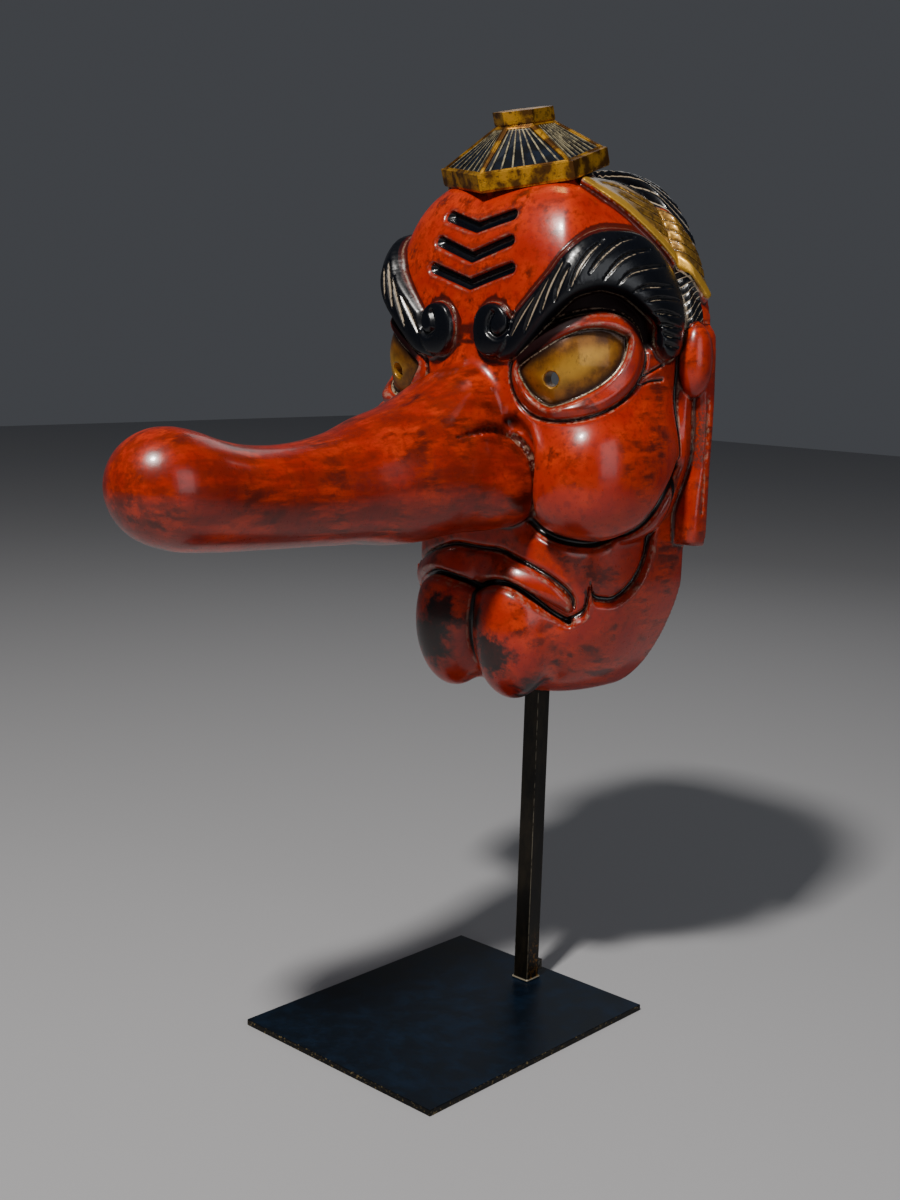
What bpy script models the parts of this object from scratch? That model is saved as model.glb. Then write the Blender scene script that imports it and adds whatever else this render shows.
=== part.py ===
"""A carved long-nosed mask with a faceted cap, on its steel post and plate."""
import itertools
import math

import bmesh
import bpy
import numpy as np

for old in list(bpy.data.objects):
    bpy.data.objects.remove(old, do_unlink=True)

# Every length below is in millimetres, and METRES turns the finished shapes into metres.
# X runs across the mask, the nose points to -Y, and Z is up from the floor.
METRES = 0.001

# Stand sizes.
PLATE_WIDTH = 203.0
PLATE_DEPTH = 254.0
PLATE_THICKNESS = 5.0
PLATE_CORNER = 2.5
POST_SIDE = 15.0
POST_SETBACK = 99.0
POST_EDGE = 0.8
LUG_WIDTH = 14.0
LUG_DEPTH = 5.5
LUG_HEIGHT = 9.0
LUG_RISE = 6.0

# Fits between the pieces.
SEAM = 0.3
SOCKET_CLEARANCE = 0.4
SOCKET_DEPTH = 62.0

# Mask sizes: how high its chin stands, how tall it is, and what is bored or hollowed in it.
MASK_LIFT = 265.0
MASK_HEIGHT = 460.0
WALL = 17.0
PUPIL_BORE = 11.5
PUPIL_TURN = 28.0
PUPIL_CENTRE = (75, 11, 256)

# The carving below is drawn at this height, up from the chin, and scaled to MASK_HEIGHT.
DRAWN_HEIGHT = 460.0
SHARE = MASK_HEIGHT / DRAWN_HEIGHT
BACK = 130.0
SOLID_CHIN = 76.0
CARVING_LOW = (-150, -327, -6)
CARVING_HIGH = (150, 136, 445)
CARVING_STEP = 3.0
MASK_FACES = 9000

# Lines on the face are drawn round the head and up from the chin: the first number of each
# point is the way round from the middle line, on a wheel of this radius about the open back,
# the second is the height, and the third, where there is one, is half the width there.
ROUND_RADIUS = 140.0
CREASES = (((0, 365), (38, 376)), ((0, 343), (39, 356)), ((0, 323), (42, 336)))
CREASE_HALF = 4.2
CREASE_DEPTH = 6.0
BROW = ((38, 276, 8), (45, 280, 10), (53, 290, 12), (62, 300, 12), (74, 314, 12), (85, 326, 13),
        (96, 335, 17), (110, 342, 21), (125, 342, 23), (138, 339, 24), (152, 329, 23),
        (165, 317, 22), (171, 303, 18), (171, 287, 15))
CURL_CENTRE = (28, 290)
CURL_RADII = (17, 20)
CURL_LINE = ((48, 299, 0), (45, 286, 0), (37, 279, 0), (27, 281, 0), (23, 290, 0))
HOOD = ((56, 270, 5), (72, 288, 6), (86, 302, 8), (104, 314, 9), (122, 314, 9), (138, 302, 8),
        (150, 285, 6))
LID_CENTRE = (97, 266)
LID_RADII = (53, 36)
LID_TILT = 20
EYE_CENTRE = (91, 267)
EYE_RADII = (41, 25)
EYE_TILT = 23
LIP = ((-20, 108, 13), (0, 107, 13), (30, 111, 10), (50, 108, 9), (72, 99, 8), (90, 89, 6),
       (98, 83, 4))
LIP_LINE = ((-30, 123, 0), (0, 122, 0), (28, 122, 0), (45, 118, 0), (74, 109, 0), (92, 99, 0),
            (101, 90, 0), (102, 84, 0))
MOUTH_LINE = ((-20, 94, 0), (0, 91, 0), (15, 95, 0), (35, 99, 0), (50, 97, 0), (67, 88, 0),
              (82, 79, 0), (99, 71, 0))
CHEEK_LINE = ((58, 148, 0), (70, 141, 0), (87, 135, 0), (109, 132, 0), (123, 133, 0),
              (143, 142, 0), (155, 152, 0), (168, 170, 0), (186, 192, 0))
JOWL_LINE = ((80, 62), (99, 71), (112, 77), (115.5, 87), (116.5, 99), (119, 90), (128, 87),
             (142, 88), (160, 102), (172, 122), (178, 150))
JOWL_BACK = ((176, 120), (178, 150), (184, 180), (190, 200))
FAN = ((96, 402, 2), (118, 398, 8), (147, 388, 14), (170, 376, 17), (189, 362, 17),
       (202, 345, 14), (211, 324, 6))
FAN_SPINE = ((94, 402, 0), (112, 395, 0), (135, 384, 0), (153, 371, 0), (172, 358, 0),
             (188, 344, 0), (204, 330, 0), (212, 320, 0))

# Round masses are drawn in space: across, back from the front of the face, and up, with a
# radius or three of them.
SKULL_RISE = 303.0
SKULL_HALF = 130.0
SKULL_DEEP = 132.0
SKULL_ABOVE = 114.0
SKULL_BELOW = 150.0
SKULL_TAPER = 0.27
JAW_RISE = 135.0
JAW_RADII = (117, 112, 135)
JAW_TAPER = 0.0034
JAW_TAPER_RISE = 105.0
JAW_TAPER_EASE = 25.0
HOLLOW_TRIM = 3.0
HOLLOW_BELOW = 190.0
HOLLOW_JAW_RISE = 150.0
HOLLOW_JAW_RADII = (115, 110, 147)
CHEEK_CENTRE = (86, 60, 187)
CHEEK_RADII = (50, 66, 56)
CHIN_CENTRE = (31, 31, 61)
CHIN_RADII = (34, 33, 56)
NOSE = ((0, 26, 232, 22), (0, 2, 233, 27), (0, -18, 222, 34), (0, -42, 203, 40),
        (0, -70, 185, 43), (0, -107, 180, 39), (0, -140, 176, 35), (0, -185, 174, 32),
        (0, -230, 176, 32), (0, -262, 181, 34), (0, -285, 187, 36))
WING = ((27, 12, 174, 32), (20, -10, 177, 35), (10, -42, 180, 39), (0, -85, 182, 41))
WING_LINE = ((45, -58, 214, 1), (45, -34, 217, 2), (43, -20, 218, 2.6), (41, -2, 216, 2.6),
             (43, 7, 212, 2.6), (49, 10, 206, 2.6), (55, 12, 198, 2.6), (59, 13, 188, 2.6),
             (61, 14, 178, 2.6), (60, 15, 168, 2.6), (55, 20, 157, 2.6), (46, 26, 147, 2.6))
WING_VALLEY = ((34, 4, 224, 4), (50, 2, 214, 7), (61, 4, 196, 9), (62, 8, 175, 9),
               (56, 13, 155, 8), (48, 18, 142, 7))
EAR_KNOB = (130, 112, 272)
EAR_KNOB_RADII = (12, 14, 28)
EAR_TOP = 300.0
EAR_FOOT = 131.0
EAR_PROFILE = ((130, 114, 136), (142, 113, 137), (154, 113, 137), (174, 115, 137),
               (190, 118, 137), (219, 118, 138), (242, 116, 138), (262, 113, 137), (300, 112, 136))

# The cap is a six-sided roof, tilted back, with a point at the front of each of its rings.
CAP_FRONT = (4.0, 402.5)
CAP_TILT = math.radians(19.0)
CAP_MIDDLE = 53.5
RIM_HALF = 66.0
RIM_FLAT = 21.5
RIM_POINT = 53.5
RIM_HEIGHT = 13.5
ROOF_INSET = 3.0
ROOF_HEIGHT = 24.0
KNOB_MIDDLE = 64.0
KNOB_HALF = 19.5
KNOB_FLAT = 13.0
KNOB_POINT = 24.0
KNOB_HEIGHT = 10.5
KNOB_LEAN = 0.12
NECK_INSET = 9.0
NECK_DEPTH = 30.0


def curve(stations, steps=4):
    """Give the stations of a smooth line through the given ones."""
    known = np.array(stations, float)
    known = np.vstack([2 * known[0] - known[1], known, 2 * known[-1] - known[-2]])
    points = []
    for a, b, c, d in zip(known[:-3], known[1:-2], known[2:-1], known[3:]):
        for t in np.arange(steps) / steps:
            bend = (2 * a - 5 * b + 4 * c - d) * t + (3 * b - a - 3 * c + d) * t * t
            points.append(b + 0.5 * t * (c - a + bend))
    points.append(known[-2])
    return np.array(points)


def ramp(distance, width):
    """Rise smoothly from 0 outside an edge to 1 inside it."""
    t = np.clip(0.5 - distance / width, 0.0, 1.0)
    return t * t * (3 - 2 * t)


def trough(distance, half):
    """Give 1 along a line, dying away to its sides."""
    return np.exp(-(distance / half) ** 2)


def join(first, second, blend):
    """Join two solids with a soft fillet."""
    near = np.maximum(blend - np.abs(first - second), 0) / blend
    return np.minimum(first, second) - near * near * blend / 4


def cut(body, tool, blend):
    """Cut a solid with a tool, leaving a soft edge."""
    return -join(-body, tool, blend)


def common(first, second, blend):
    """Keep what two solids share, with a soft edge."""
    return -join(-first, -second, blend)


def egg(x, y, z, centre, radii):
    """Give the distance to an egg's surface, less than 0 inside."""
    a = (x - centre[0]) / radii[0]
    b = (y - centre[1]) / radii[1]
    c = (z - centre[2]) / radii[2]
    reach = np.sqrt(a * a + b * b + c * c)
    slope = np.sqrt((a / radii[0]) ** 2 + (b / radii[1]) ** 2 + (c / radii[2]) ** 2)
    return reach * (reach - 1) / np.maximum(slope, 1e-9)


def squared_egg(x, y, z, radii, plan, side):
    """Give the distance to an egg about the origin, squared off in plan and in side view."""
    level = (np.abs(x / radii[0]) ** plan + np.abs(y / radii[1]) ** plan) ** (side / plan)
    level = (level + np.abs(z / radii[2]) ** side) ** (1 / side)
    return np.sqrt(x * x + y * y + z * z) * (1 - 1 / np.maximum(level, 1e-6))


def limb(x, y, z, stations, blend):
    """Give the distance to a round limb through stations of x, y, z and radius."""
    body = None
    for a, b in zip(stations[:-1], stations[1:]):
        run = b[:3] - a[:3]
        t = ((x - a[0]) * run[0] + (y - a[1]) * run[1] + (z - a[2]) * run[2]) / (run @ run)
        t = np.clip(t, 0, 1)
        off_x = x - a[0] - t * run[0]
        off_y = y - a[1] - t * run[1]
        off_z = z - a[2] - t * run[2]
        gap = np.sqrt(off_x ** 2 + off_y ** 2 + off_z ** 2) - (a[3] + (b[3] - a[3]) * t)
        body = gap if body is None else join(body, gap, blend)
    return body


def band(u, v, stations, reach=14.0):
    """Give the distance outside a band on the face, and its half width, within reach."""
    gap = np.full(u.shape, 1e3)
    width = np.ones(u.shape)
    far = reach + stations[:, 2].max()
    low = stations[:, :2].min(axis=0) - far
    high = stations[:, :2].max(axis=0) + far
    close = np.nonzero((u > low[0]) & (u < high[0]) & (v > low[1]) & (v < high[1]))[0]
    p, q = u[close], v[close]
    best = np.full(p.shape, 1e3)
    half = np.ones(p.shape)
    for a, b in zip(stations[:-1], stations[1:]):
        run = b[:2] - a[:2]
        t = np.clip(((p - a[0]) * run[0] + (q - a[1]) * run[1]) / (run @ run), 0, 1)
        side = a[2] + (b[2] - a[2]) * t
        new = np.hypot(p - a[0] - t * run[0], q - a[1] - t * run[1]) - side
        half = np.where(new < best, side, half)
        best = np.minimum(best, new)
    gap[close] = best
    width[close] = half
    return gap, width


def dome(gap, half):
    """Rise like a half round from the edge of a band to its middle."""
    t = np.clip(-gap / np.maximum(half, 1e-3), 0, 1)
    return np.sqrt(t * (2 - t))


def oval(u, v, centre, radii, tilt):
    """Give the distance outside a tilted oval on the face."""
    along, across = math.cos(math.radians(tilt)), math.sin(math.radians(tilt))
    a = (u - centre[0]) * along + (v - centre[1]) * across
    b = (v - centre[1]) * along - (u - centre[0]) * across
    level = (np.abs(a / radii[0]) ** 2.2 + np.abs(b / radii[1]) ** 2.2) ** (1 / 2.2)
    return np.hypot(a, b) * (1 - 1 / np.maximum(level, 1e-6))


def head(a, y, v):
    """Give the plain head: a squared skull over a squared jaw, open at the back."""
    rise = v - SKULL_RISE
    wide = SKULL_HALF - SKULL_TAPER * 0.9 * np.maximum(rise, 0)
    tall = np.where(rise > 0, SKULL_ABOVE, SKULL_BELOW)
    level = ((a / wide) ** 3.4 + (np.abs(y - BACK) / SKULL_DEEP) ** 3.4) ** (3.2 / 3.4)
    level = (level + np.abs(rise / tall) ** 3.2) ** (1 / 3.2)
    skull = np.sqrt(a * a + (y - BACK) ** 2 + rise * rise) * (1 - 1 / np.maximum(level, 1e-6))
    drop = np.maximum(JAW_TAPER_RISE - v, 0)
    narrow = 1 - JAW_TAPER * drop * drop / (drop + JAW_TAPER_EASE)
    jaw = squared_egg(a / narrow, y - BACK, v - JAW_RISE, JAW_RADII, 2.8, 4.0)
    return join(skull, jaw, 30)


def hollow(a, y, v):
    """Give the space hollowed out of the back, rounder than the head, above a solid chin."""
    wall = WALL / SHARE
    rise = v - SKULL_RISE
    tall = np.where(rise > 0, SKULL_ABOVE, HOLLOW_BELOW) - wall
    level = (a / (SKULL_HALF - HOLLOW_TRIM - wall)) ** 2.5
    level = level + (np.abs(y - BACK) / (SKULL_DEEP - wall)) ** 2.5
    level = (level + np.abs(rise / tall) ** 2.5) ** (1 / 2.5)
    skull = np.sqrt(a * a + (y - BACK) ** 2 + rise * rise) * (1 - 1 / np.maximum(level, 1e-6))
    radii = [radius - wall for radius in HOLLOW_JAW_RADII]
    jaw = squared_egg(a, y - BACK, v - HOLLOW_JAW_RISE, radii, 2.5, 2.5)
    return common(join(skull, jaw, 30), SOLID_CHIN - v, 20)


def brow_relief(u, v):
    """Give how far the brow and its curl stand out, and where they cover the face."""
    gap, half = band(u, v, curve(BROW))
    tall = np.interp(u, [30, 50, 88, 145, 172, 189], [5, 7, 16, 18, 13, 8])
    raised = tall * (0.55 * ramp(gap, 5) + 0.45 * dome(gap, half))
    curl = oval(u, v, CURL_CENTRE, CURL_RADII, 0)
    raised = np.maximum(raised, 6 * ramp(curl, 3) + 3 * dome(curl, CURL_RADII[0]))
    line = band(u, v, curve(CURL_LINE))[0]
    raised = raised - 4 * trough(line, 2.2) * ramp(curl - 6, 6)
    cover = np.maximum(ramp(gap, 5), ramp(curl, 4))
    return raised, cover


def eye_relief(u, v):
    """Give the hood over the eye, the lid round it and the bulging ball in it."""
    lid = oval(u, v, LID_CENTRE, LID_RADII, LID_TILT)
    eye = oval(u, v, EYE_CENTRE, EYE_RADII, EYE_TILT)
    hood = band(u, v, curve(HOOD))[0]
    raised = -7 * ramp(hood, 8) * (1 - ramp(lid, 3))
    raised = raised + 5 * ramp(lid + 4, 10) * (1 - ramp(eye, 3))
    raised = raised - 3.5 * trough(lid - 1, 2.6)
    ball = 1 - ((u - EYE_CENTRE[0]) / 44) ** 2 - ((v - EYE_CENTRE[1]) / 30) ** 2
    raised = raised + (8 * np.maximum(ball, 0) - 3) * ramp(eye, 2.5)
    return raised - 2 * trough(eye - 0.5, 1.8)


def mouth_relief(u, v):
    """Give the upper lip between its two lines, and the crease under the cheek."""
    gap, half = band(u, v, curve(LIP))
    raised = 4.5 * dome(gap, half)
    raised = raised - 3.5 * trough(band(u, v, curve(LIP_LINE))[0], 2.6)
    raised = raised - 7 * trough(band(u, v, curve(MOUTH_LINE))[0], 3.5)
    return raised - 8 * trough(band(u, v, curve(CHEEK_LINE))[0], 4.5)


def fan_relief(u, v):
    """Give the feather fan beside the cap, highest along its spine."""
    gap, half = band(u, v, curve(FAN))
    spine = np.maximum(band(u, v, curve(FAN_SPINE))[0] - 2, 0)
    return 3 * ramp(gap, 3) + 4 * trough(spine, 4) * ramp(gap - 3, 4)


def relief(u, v):
    """Give everything carved up or down on the face."""
    brow, cover = brow_relief(u, v)
    raised = brow + (1 - cover) * eye_relief(u, v)
    raised = raised + mouth_relief(u, v) + fan_relief(u, v)
    for crease in CREASES:
        ends = np.array([(*end, CREASE_HALF) for end in crease])
        raised = raised - CREASE_DEPTH * ramp(band(u, v, ends)[0], 3)
    return raised


def muzzle_depth(u, v):
    """Give how far the muzzle lies below the jaw that runs round it."""
    jowl = curve(JOWL_LINE)
    back = curve(JOWL_BACK)
    above = np.interp(u, jowl[:, 0], jowl[:, 1]) - v
    inside = u - np.interp(v, back[:, 1], back[:, 0])
    edge = np.maximum(above, inside)
    return (8 * ramp(edge - 1, 9) + 2 * trough(edge + 3, 2)) * ramp(98 - u, 36)


def ear(a, y, v):
    """Give the ear: a round knob, and a long flat leaf that flares at its lobe."""
    knob = egg(a, y, v, EAR_KNOB, EAR_KNOB_RADII)
    profile = np.array(EAR_PROFILE, float)
    front = np.interp(v, profile[:, 0], profile[:, 1])
    out = np.interp(v, profile[:, 0], profile[:, 2])
    leaf = common(a - out, front - y, 7)
    leaf = common(leaf, v - EAR_TOP, 16)
    leaf = common(leaf, EAR_FOOT - v - (y - 110) * 0.1, 4)
    leaf = np.maximum.reduce([leaf, out - 26 - a, y - BACK])
    return join(knob, leaf, 2)


def cap_place(y, v):
    """Turn a place into the cap's own frame: back from its front point, and up."""
    back = (y - CAP_FRONT[0]) * math.cos(CAP_TILT) + (v - CAP_FRONT[1]) * math.sin(CAP_TILT)
    up = (v - CAP_FRONT[1]) * math.cos(CAP_TILT) - (y - CAP_FRONT[0]) * math.sin(CAP_TILT)
    return back, up


def cap_neck(a, y, v):
    """Give the neck that carries the cap on the head."""
    back, up = cap_place(y, v)
    half = RIM_HALF - NECK_INSET
    point = RIM_POINT - NECK_INSET
    slant = RIM_POINT - RIM_FLAT
    facet = (slant * a + half * (np.abs(back - CAP_MIDDLE) - point)) / math.hypot(slant, half)
    return np.maximum.reduce([a - half, facet, up + RIM_HEIGHT / 2, -RIM_HEIGHT - NECK_DEPTH - up])


def mask_form(x, y, z):
    """Give the distance to the carved mask, less than 0 in its wood."""
    a = np.abs(x)
    u = ROUND_RADIUS * np.arctan2(a, np.maximum(BACK - y, 1e-3))
    plain = head(a, y, z)
    body = plain + muzzle_depth(u, z)
    across, deep, up = CHEEK_CENTRE
    cheek = squared_egg(a - across, y - deep, z - up, CHEEK_RADII, 2.4, 2.4)
    body = join(body, cheek, np.interp(z, [165, 200], [5, 24]))
    body = join(body, egg(a, y, z, CHIN_CENTRE, CHIN_RADII), 10)
    close = np.abs(plain) < 45
    carved = np.zeros(u.shape)
    carved[close] = relief(u[close], z[close])
    body = body - carved
    body = cut(body, limb(a, y, z, curve(WING_VALLEY, 3), 4), 8)
    nose = join(limb(a, y, z, curve(NOSE, 3), 10), limb(a, y, z, curve(WING, 2), 8), 22)
    body = join(body, nose, np.interp(z, [200, 235], [2.5, 14]))
    body = cut(body, limb(a, y, z, curve(WING_LINE, 2), 2), 2)
    body = join(body, ear(a, y, z), 2)
    body = join(body, cap_neck(a, y, z), 3)
    body = np.maximum(body, y - BACK)
    return cut(body, hollow(a, y, z), 3)


def sample(form, low, high, step, coarse=4):
    """Sample a form on a grid, finely only in the coarse cells that its surface may cross."""
    counts = [int(math.ceil((b - a) / step / coarse)) * coarse + 1 for a, b in zip(low, high)]
    axes = [a + step * np.arange(n) for a, n in zip(low, counts)]
    rough = [axis[::coarse] for axis in axes]
    grid = np.meshgrid(*rough, indexing="ij")
    value = form(*[g.ravel() for g in grid]).reshape(grid[0].shape)
    fine = np.repeat(np.repeat(np.repeat(value, coarse, 0), coarse, 1), coarse, 2)
    field = fine[:counts[0], :counts[1], :counts[2]].copy()
    near = np.abs(value) < step * coarse * 2.2
    busy = near[:-1, :-1, :-1]
    for i, j, k in ((0, 0, 1), (0, 1, 0), (0, 1, 1), (1, 0, 0), (1, 0, 1), (1, 1, 0), (1, 1, 1)):
        ends = [n - 1 + s for n, s in zip(near.shape, (i, j, k))]
        busy = busy | near[i:ends[0], j:ends[1], k:ends[2]]
    wanted = np.zeros(field.shape, bool)
    for i, j, k in np.argwhere(busy):
        wanted[i * coarse:(i + 1) * coarse + 1, j * coarse:(j + 1) * coarse + 1,
               k * coarse:(k + 1) * coarse + 1] = True
    at = np.nonzero(wanted)
    field[at] = form(axes[0][at[0]], axes[1][at[1]], axes[2][at[2]])
    return axes, field


def surface(axes, field):
    """Wrap the zero level of a sampled form in triangles, with six wedges to a cell."""
    inside = field < 0
    mixed = np.zeros([n - 1 for n in field.shape], bool)
    for i, j, k in itertools.product((0, 1), repeat=3):
        ends = [i + n for i, n in zip((i, j, k), mixed.shape)]
        mixed |= inside[i:ends[0], j:ends[1], k:ends[2]] != inside[:-1, :-1, :-1]
    cells = np.argwhere(mixed)
    strides = np.array([field.shape[1] * field.shape[2], field.shape[2], 1])
    flat = field.ravel()
    triangles = []
    for order in itertools.permutations(range(3)):
        steps = np.zeros((4, 3), int)
        for place, axis in enumerate(order):
            steps[place + 1:, axis] = 1
        spots = (cells[:, None, :] + steps) @ strides
        signs = flat[spots] < 0
        for code in range(1, 15):
            within = [c for c in range(4) if code >> c & 1]
            beyond = [c for c in range(4) if not code >> c & 1]
            rows = np.nonzero((signs == [c in within for c in range(4)]).all(axis=1))[0]
            ring = [(a, b) for a in within for b in beyond]
            if len(within) == 2:
                ring = [ring[0], ring[1], ring[3], ring[2]]
            ids = []
            for a, b in ring:
                low, high = min(a, b), max(a, b)
                along = (steps[high] - steps[low]) @ (4, 2, 1)
                ids.append(spots[rows, low] * 8 + along)
            for second, third in ((1, 2), (2, 3))[:len(ring) - 2]:
                triangles.append(np.stack([ids[0], ids[second], ids[third]], 1))
    keys, faces = np.unique(np.vstack(triangles), return_inverse=True)
    start = np.stack(np.unravel_index(keys // 8, field.shape), 1)
    along = np.stack([keys >> 2 & 1, keys >> 1 & 1, keys & 1], 1)
    first = flat[keys // 8]
    second = flat[(start + along) @ strides]
    t = np.clip(first / (first - second), 0.03, 0.97)
    step = axes[0][1] - axes[0][0]
    points = (start + along * t[:, None]) * step + [axis[0] for axis in axes]
    return points, faces.reshape(-1, 3)


def collection(name):
    made = bpy.data.collections.new(name)
    bpy.context.scene.collection.children.link(made)
    return made


def material(name, colour, roughness, metallic):
    made = bpy.data.materials.new(name)
    made.use_nodes = True
    shader = made.node_tree.nodes["Principled BSDF"]
    shader.inputs["Base Color"].default_value = (*colour, 1.0)
    shader.inputs["Roughness"].default_value = roughness
    shader.inputs["Metallic"].default_value = metallic
    made.diffuse_color = (*colour, 1.0)
    return made


def add_object(name, mesh, home, finish=None):
    made = bpy.data.objects.new(name, mesh)
    home.objects.link(made)
    if finish:
        mesh.materials.append(finish)
    return made


def add_block(name, low, high, home, finish=None, edge=0.0, upright_only=False):
    """Add a box between two corners in millimetres, with its edges rounded off."""
    mesh = bpy.data.meshes.new(name)
    shape = bmesh.new()
    bmesh.ops.create_cube(shape, size=1.0)
    size = [(b - a) * METRES for a, b in zip(low, high)]
    middle = [(a + b) / 2 * METRES for a, b in zip(low, high)]
    bmesh.ops.scale(shape, vec=size, verts=shape.verts)
    bmesh.ops.translate(shape, vec=middle, verts=shape.verts)
    if edge:
        chosen = [e for e in shape.edges
                  if abs(e.verts[0].co.z - e.verts[1].co.z) > 1e-6 or not upright_only]
        bmesh.ops.bevel(shape, geom=chosen, offset=edge * METRES, segments=3, profile=0.5,
                        affect="EDGES")
    bmesh.ops.recalc_face_normals(shape, faces=shape.faces)
    shape.to_mesh(mesh)
    shape.free()
    return add_object(name, mesh, home, finish)


def add_cutter(target, tool, operation):
    tool.hide_render = True
    tool.display_type = "WIRE"
    change = target.modifiers.new(tool.name, "BOOLEAN")
    change.operation = operation
    change.solver = "EXACT"
    change.object = tool


def mask_point(x, y, up):
    """Turn a drawn place on the mask into metres in the whole object's frame."""
    return (x * SHARE * METRES, y * SHARE * METRES, (MASK_LIFT + up * SHARE) * METRES)


def cap_ring(base, middle, half, flat, point, lean=0.0):
    """Give the six corners of one ring of the cap, higher at its front where it leans."""
    corners = []
    for x, back in ((0, -point), (half, -flat), (half, flat), (0, point), (-half, flat),
                    (-half, -flat)):
        up = base - lean * back
        y = CAP_FRONT[0] + (middle + back) * math.cos(CAP_TILT) - up * math.sin(CAP_TILT)
        v = CAP_FRONT[1] + (middle + back) * math.sin(CAP_TILT) + up * math.cos(CAP_TILT)
        corners.append(mask_point(x, y, v))
    return corners


def add_cap(home):
    """Add the cap's rim, roof and knob as one loft of six-sided rings."""
    inner = ROOF_INSET * RIM_POINT / RIM_HALF
    knob_up = ROOF_HEIGHT + KNOB_HEIGHT
    rings = [
        cap_ring(-RIM_HEIGHT, CAP_MIDDLE, RIM_HALF - 1, RIM_FLAT, RIM_POINT - 1),
        cap_ring(-RIM_HEIGHT + 2, CAP_MIDDLE, RIM_HALF, RIM_FLAT, RIM_POINT),
        cap_ring(0, CAP_MIDDLE, RIM_HALF, RIM_FLAT, RIM_POINT),
        cap_ring(0.5, CAP_MIDDLE, RIM_HALF - ROOF_INSET, RIM_FLAT, RIM_POINT - inner),
        cap_ring(ROOF_HEIGHT, KNOB_MIDDLE, KNOB_HALF - 1, KNOB_FLAT, KNOB_POINT - 1,
                 KNOB_LEAN),
        cap_ring(ROOF_HEIGHT + 1, KNOB_MIDDLE, KNOB_HALF, KNOB_FLAT, KNOB_POINT, KNOB_LEAN),
        cap_ring(knob_up, KNOB_MIDDLE, KNOB_HALF, KNOB_FLAT, KNOB_POINT, KNOB_LEAN),
    ]
    mesh = bpy.data.meshes.new("cap")
    shape = bmesh.new()
    loops = [[shape.verts.new(corner) for corner in ring] for ring in rings]
    for lower, upper in zip(loops[:-1], loops[1:]):
        for i in range(6):
            j = (i + 1) % 6
            shape.faces.new((lower[i], lower[j], upper[j], upper[i]))
    shape.faces.new(loops[0][::-1])
    shape.faces.new(loops[-1])
    bmesh.ops.recalc_face_normals(shape, faces=shape.faces)
    shape.to_mesh(mesh)
    shape.free()
    return add_object("cap", mesh, home)


def add_pupil(side, home):
    """Add the drill for one pupil, square to the eyeball."""
    mesh = bpy.data.meshes.new("pupil_drill")
    shape = bmesh.new()
    bmesh.ops.create_cone(shape, cap_ends=True, segments=24, radius1=PUPIL_BORE / 2 * METRES,
                          radius2=PUPIL_BORE / 2 * METRES, depth=90 * METRES)
    shape.to_mesh(mesh)
    shape.free()
    drill = add_object("pupil_drill", mesh, home)
    across, deep, up = PUPIL_CENTRE
    drill.location = mask_point(side * across, deep, up)
    drill.rotation_euler = (math.radians(90), 0, side * math.radians(PUPIL_TURN))
    return drill


def add_mask(home, cutters, finish):
    """Add the carved mask with its cap, its pupils and the socket for the post."""
    axes, field = sample(mask_form, CARVING_LOW, CARVING_HIGH, CARVING_STEP)
    points, faces = surface(axes, field)
    mesh = bpy.data.meshes.new("mask")
    mesh.from_pydata([mask_point(*point) for point in points], [], faces.tolist())
    shape = bmesh.new()
    shape.from_mesh(mesh)
    bmesh.ops.recalc_face_normals(shape, faces=shape.faces)
    shape.to_mesh(mesh)
    shape.free()
    mask = add_object("mask", mesh, home, finish)
    thin = mask.modifiers.new("thin", "DECIMATE")
    thin.ratio = MASK_FACES / len(faces)
    thin.use_symmetry = False
    add_cutter(mask, add_cap(cutters), "UNION")
    for side in (-1, 1):
        add_cutter(mask, add_pupil(side, cutters), "DIFFERENCE")
    half = POST_SIDE / 2 + SOCKET_CLEARANCE
    socket = add_block("socket", (-half, POST_SETBACK - half, MASK_LIFT - 40),
                       (half, POST_SETBACK + half, MASK_LIFT + SOCKET_DEPTH), cutters)
    add_cutter(mask, socket, "DIFFERENCE")
    return mask


def add_stand(home, steel):
    """Add the plate, and the post with the small lug behind its foot."""
    add_block("base_plate", (-PLATE_WIDTH / 2, -PLATE_DEPTH / 2, 0),
              (PLATE_WIDTH / 2, PLATE_DEPTH / 2, PLATE_THICKNESS), home, steel,
              edge=PLATE_CORNER, upright_only=True)
    half = POST_SIDE / 2
    foot = PLATE_THICKNESS + SEAM
    post = add_block("stand_post", (-half, POST_SETBACK - half, foot),
                     (half, POST_SETBACK + half, MASK_LIFT + SOCKET_DEPTH - SEAM), home,
                     steel.copy(), edge=POST_EDGE, upright_only=True)
    lug = add_block("lug", (-LUG_WIDTH / 2, POST_SETBACK + half - 3, foot + LUG_RISE),
                    (LUG_WIDTH / 2, POST_SETBACK + half + LUG_DEPTH,
                     foot + LUG_RISE + LUG_HEIGHT), CUTTERS)
    add_cutter(post, lug, "UNION")


MODEL = collection("tengu_mask_on_stand")
CUTTERS = collection("cutters")
LACQUER = material("red_lacquered_wood", (0.55, 0.045, 0.012), 0.3, 0.0)
STEEL = material("blackened_steel", (0.02, 0.024, 0.032), 0.4, 0.9)
add_mask(MODEL, CUTTERS, LACQUER)
add_stand(MODEL, STEEL)
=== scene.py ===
"""The looks of a carved long-nosed mask with a faceted cap, on its steel post and plate."""

import math

import bmesh
import bpy
import numpy as np
from mathutils import Matrix, Vector


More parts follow.
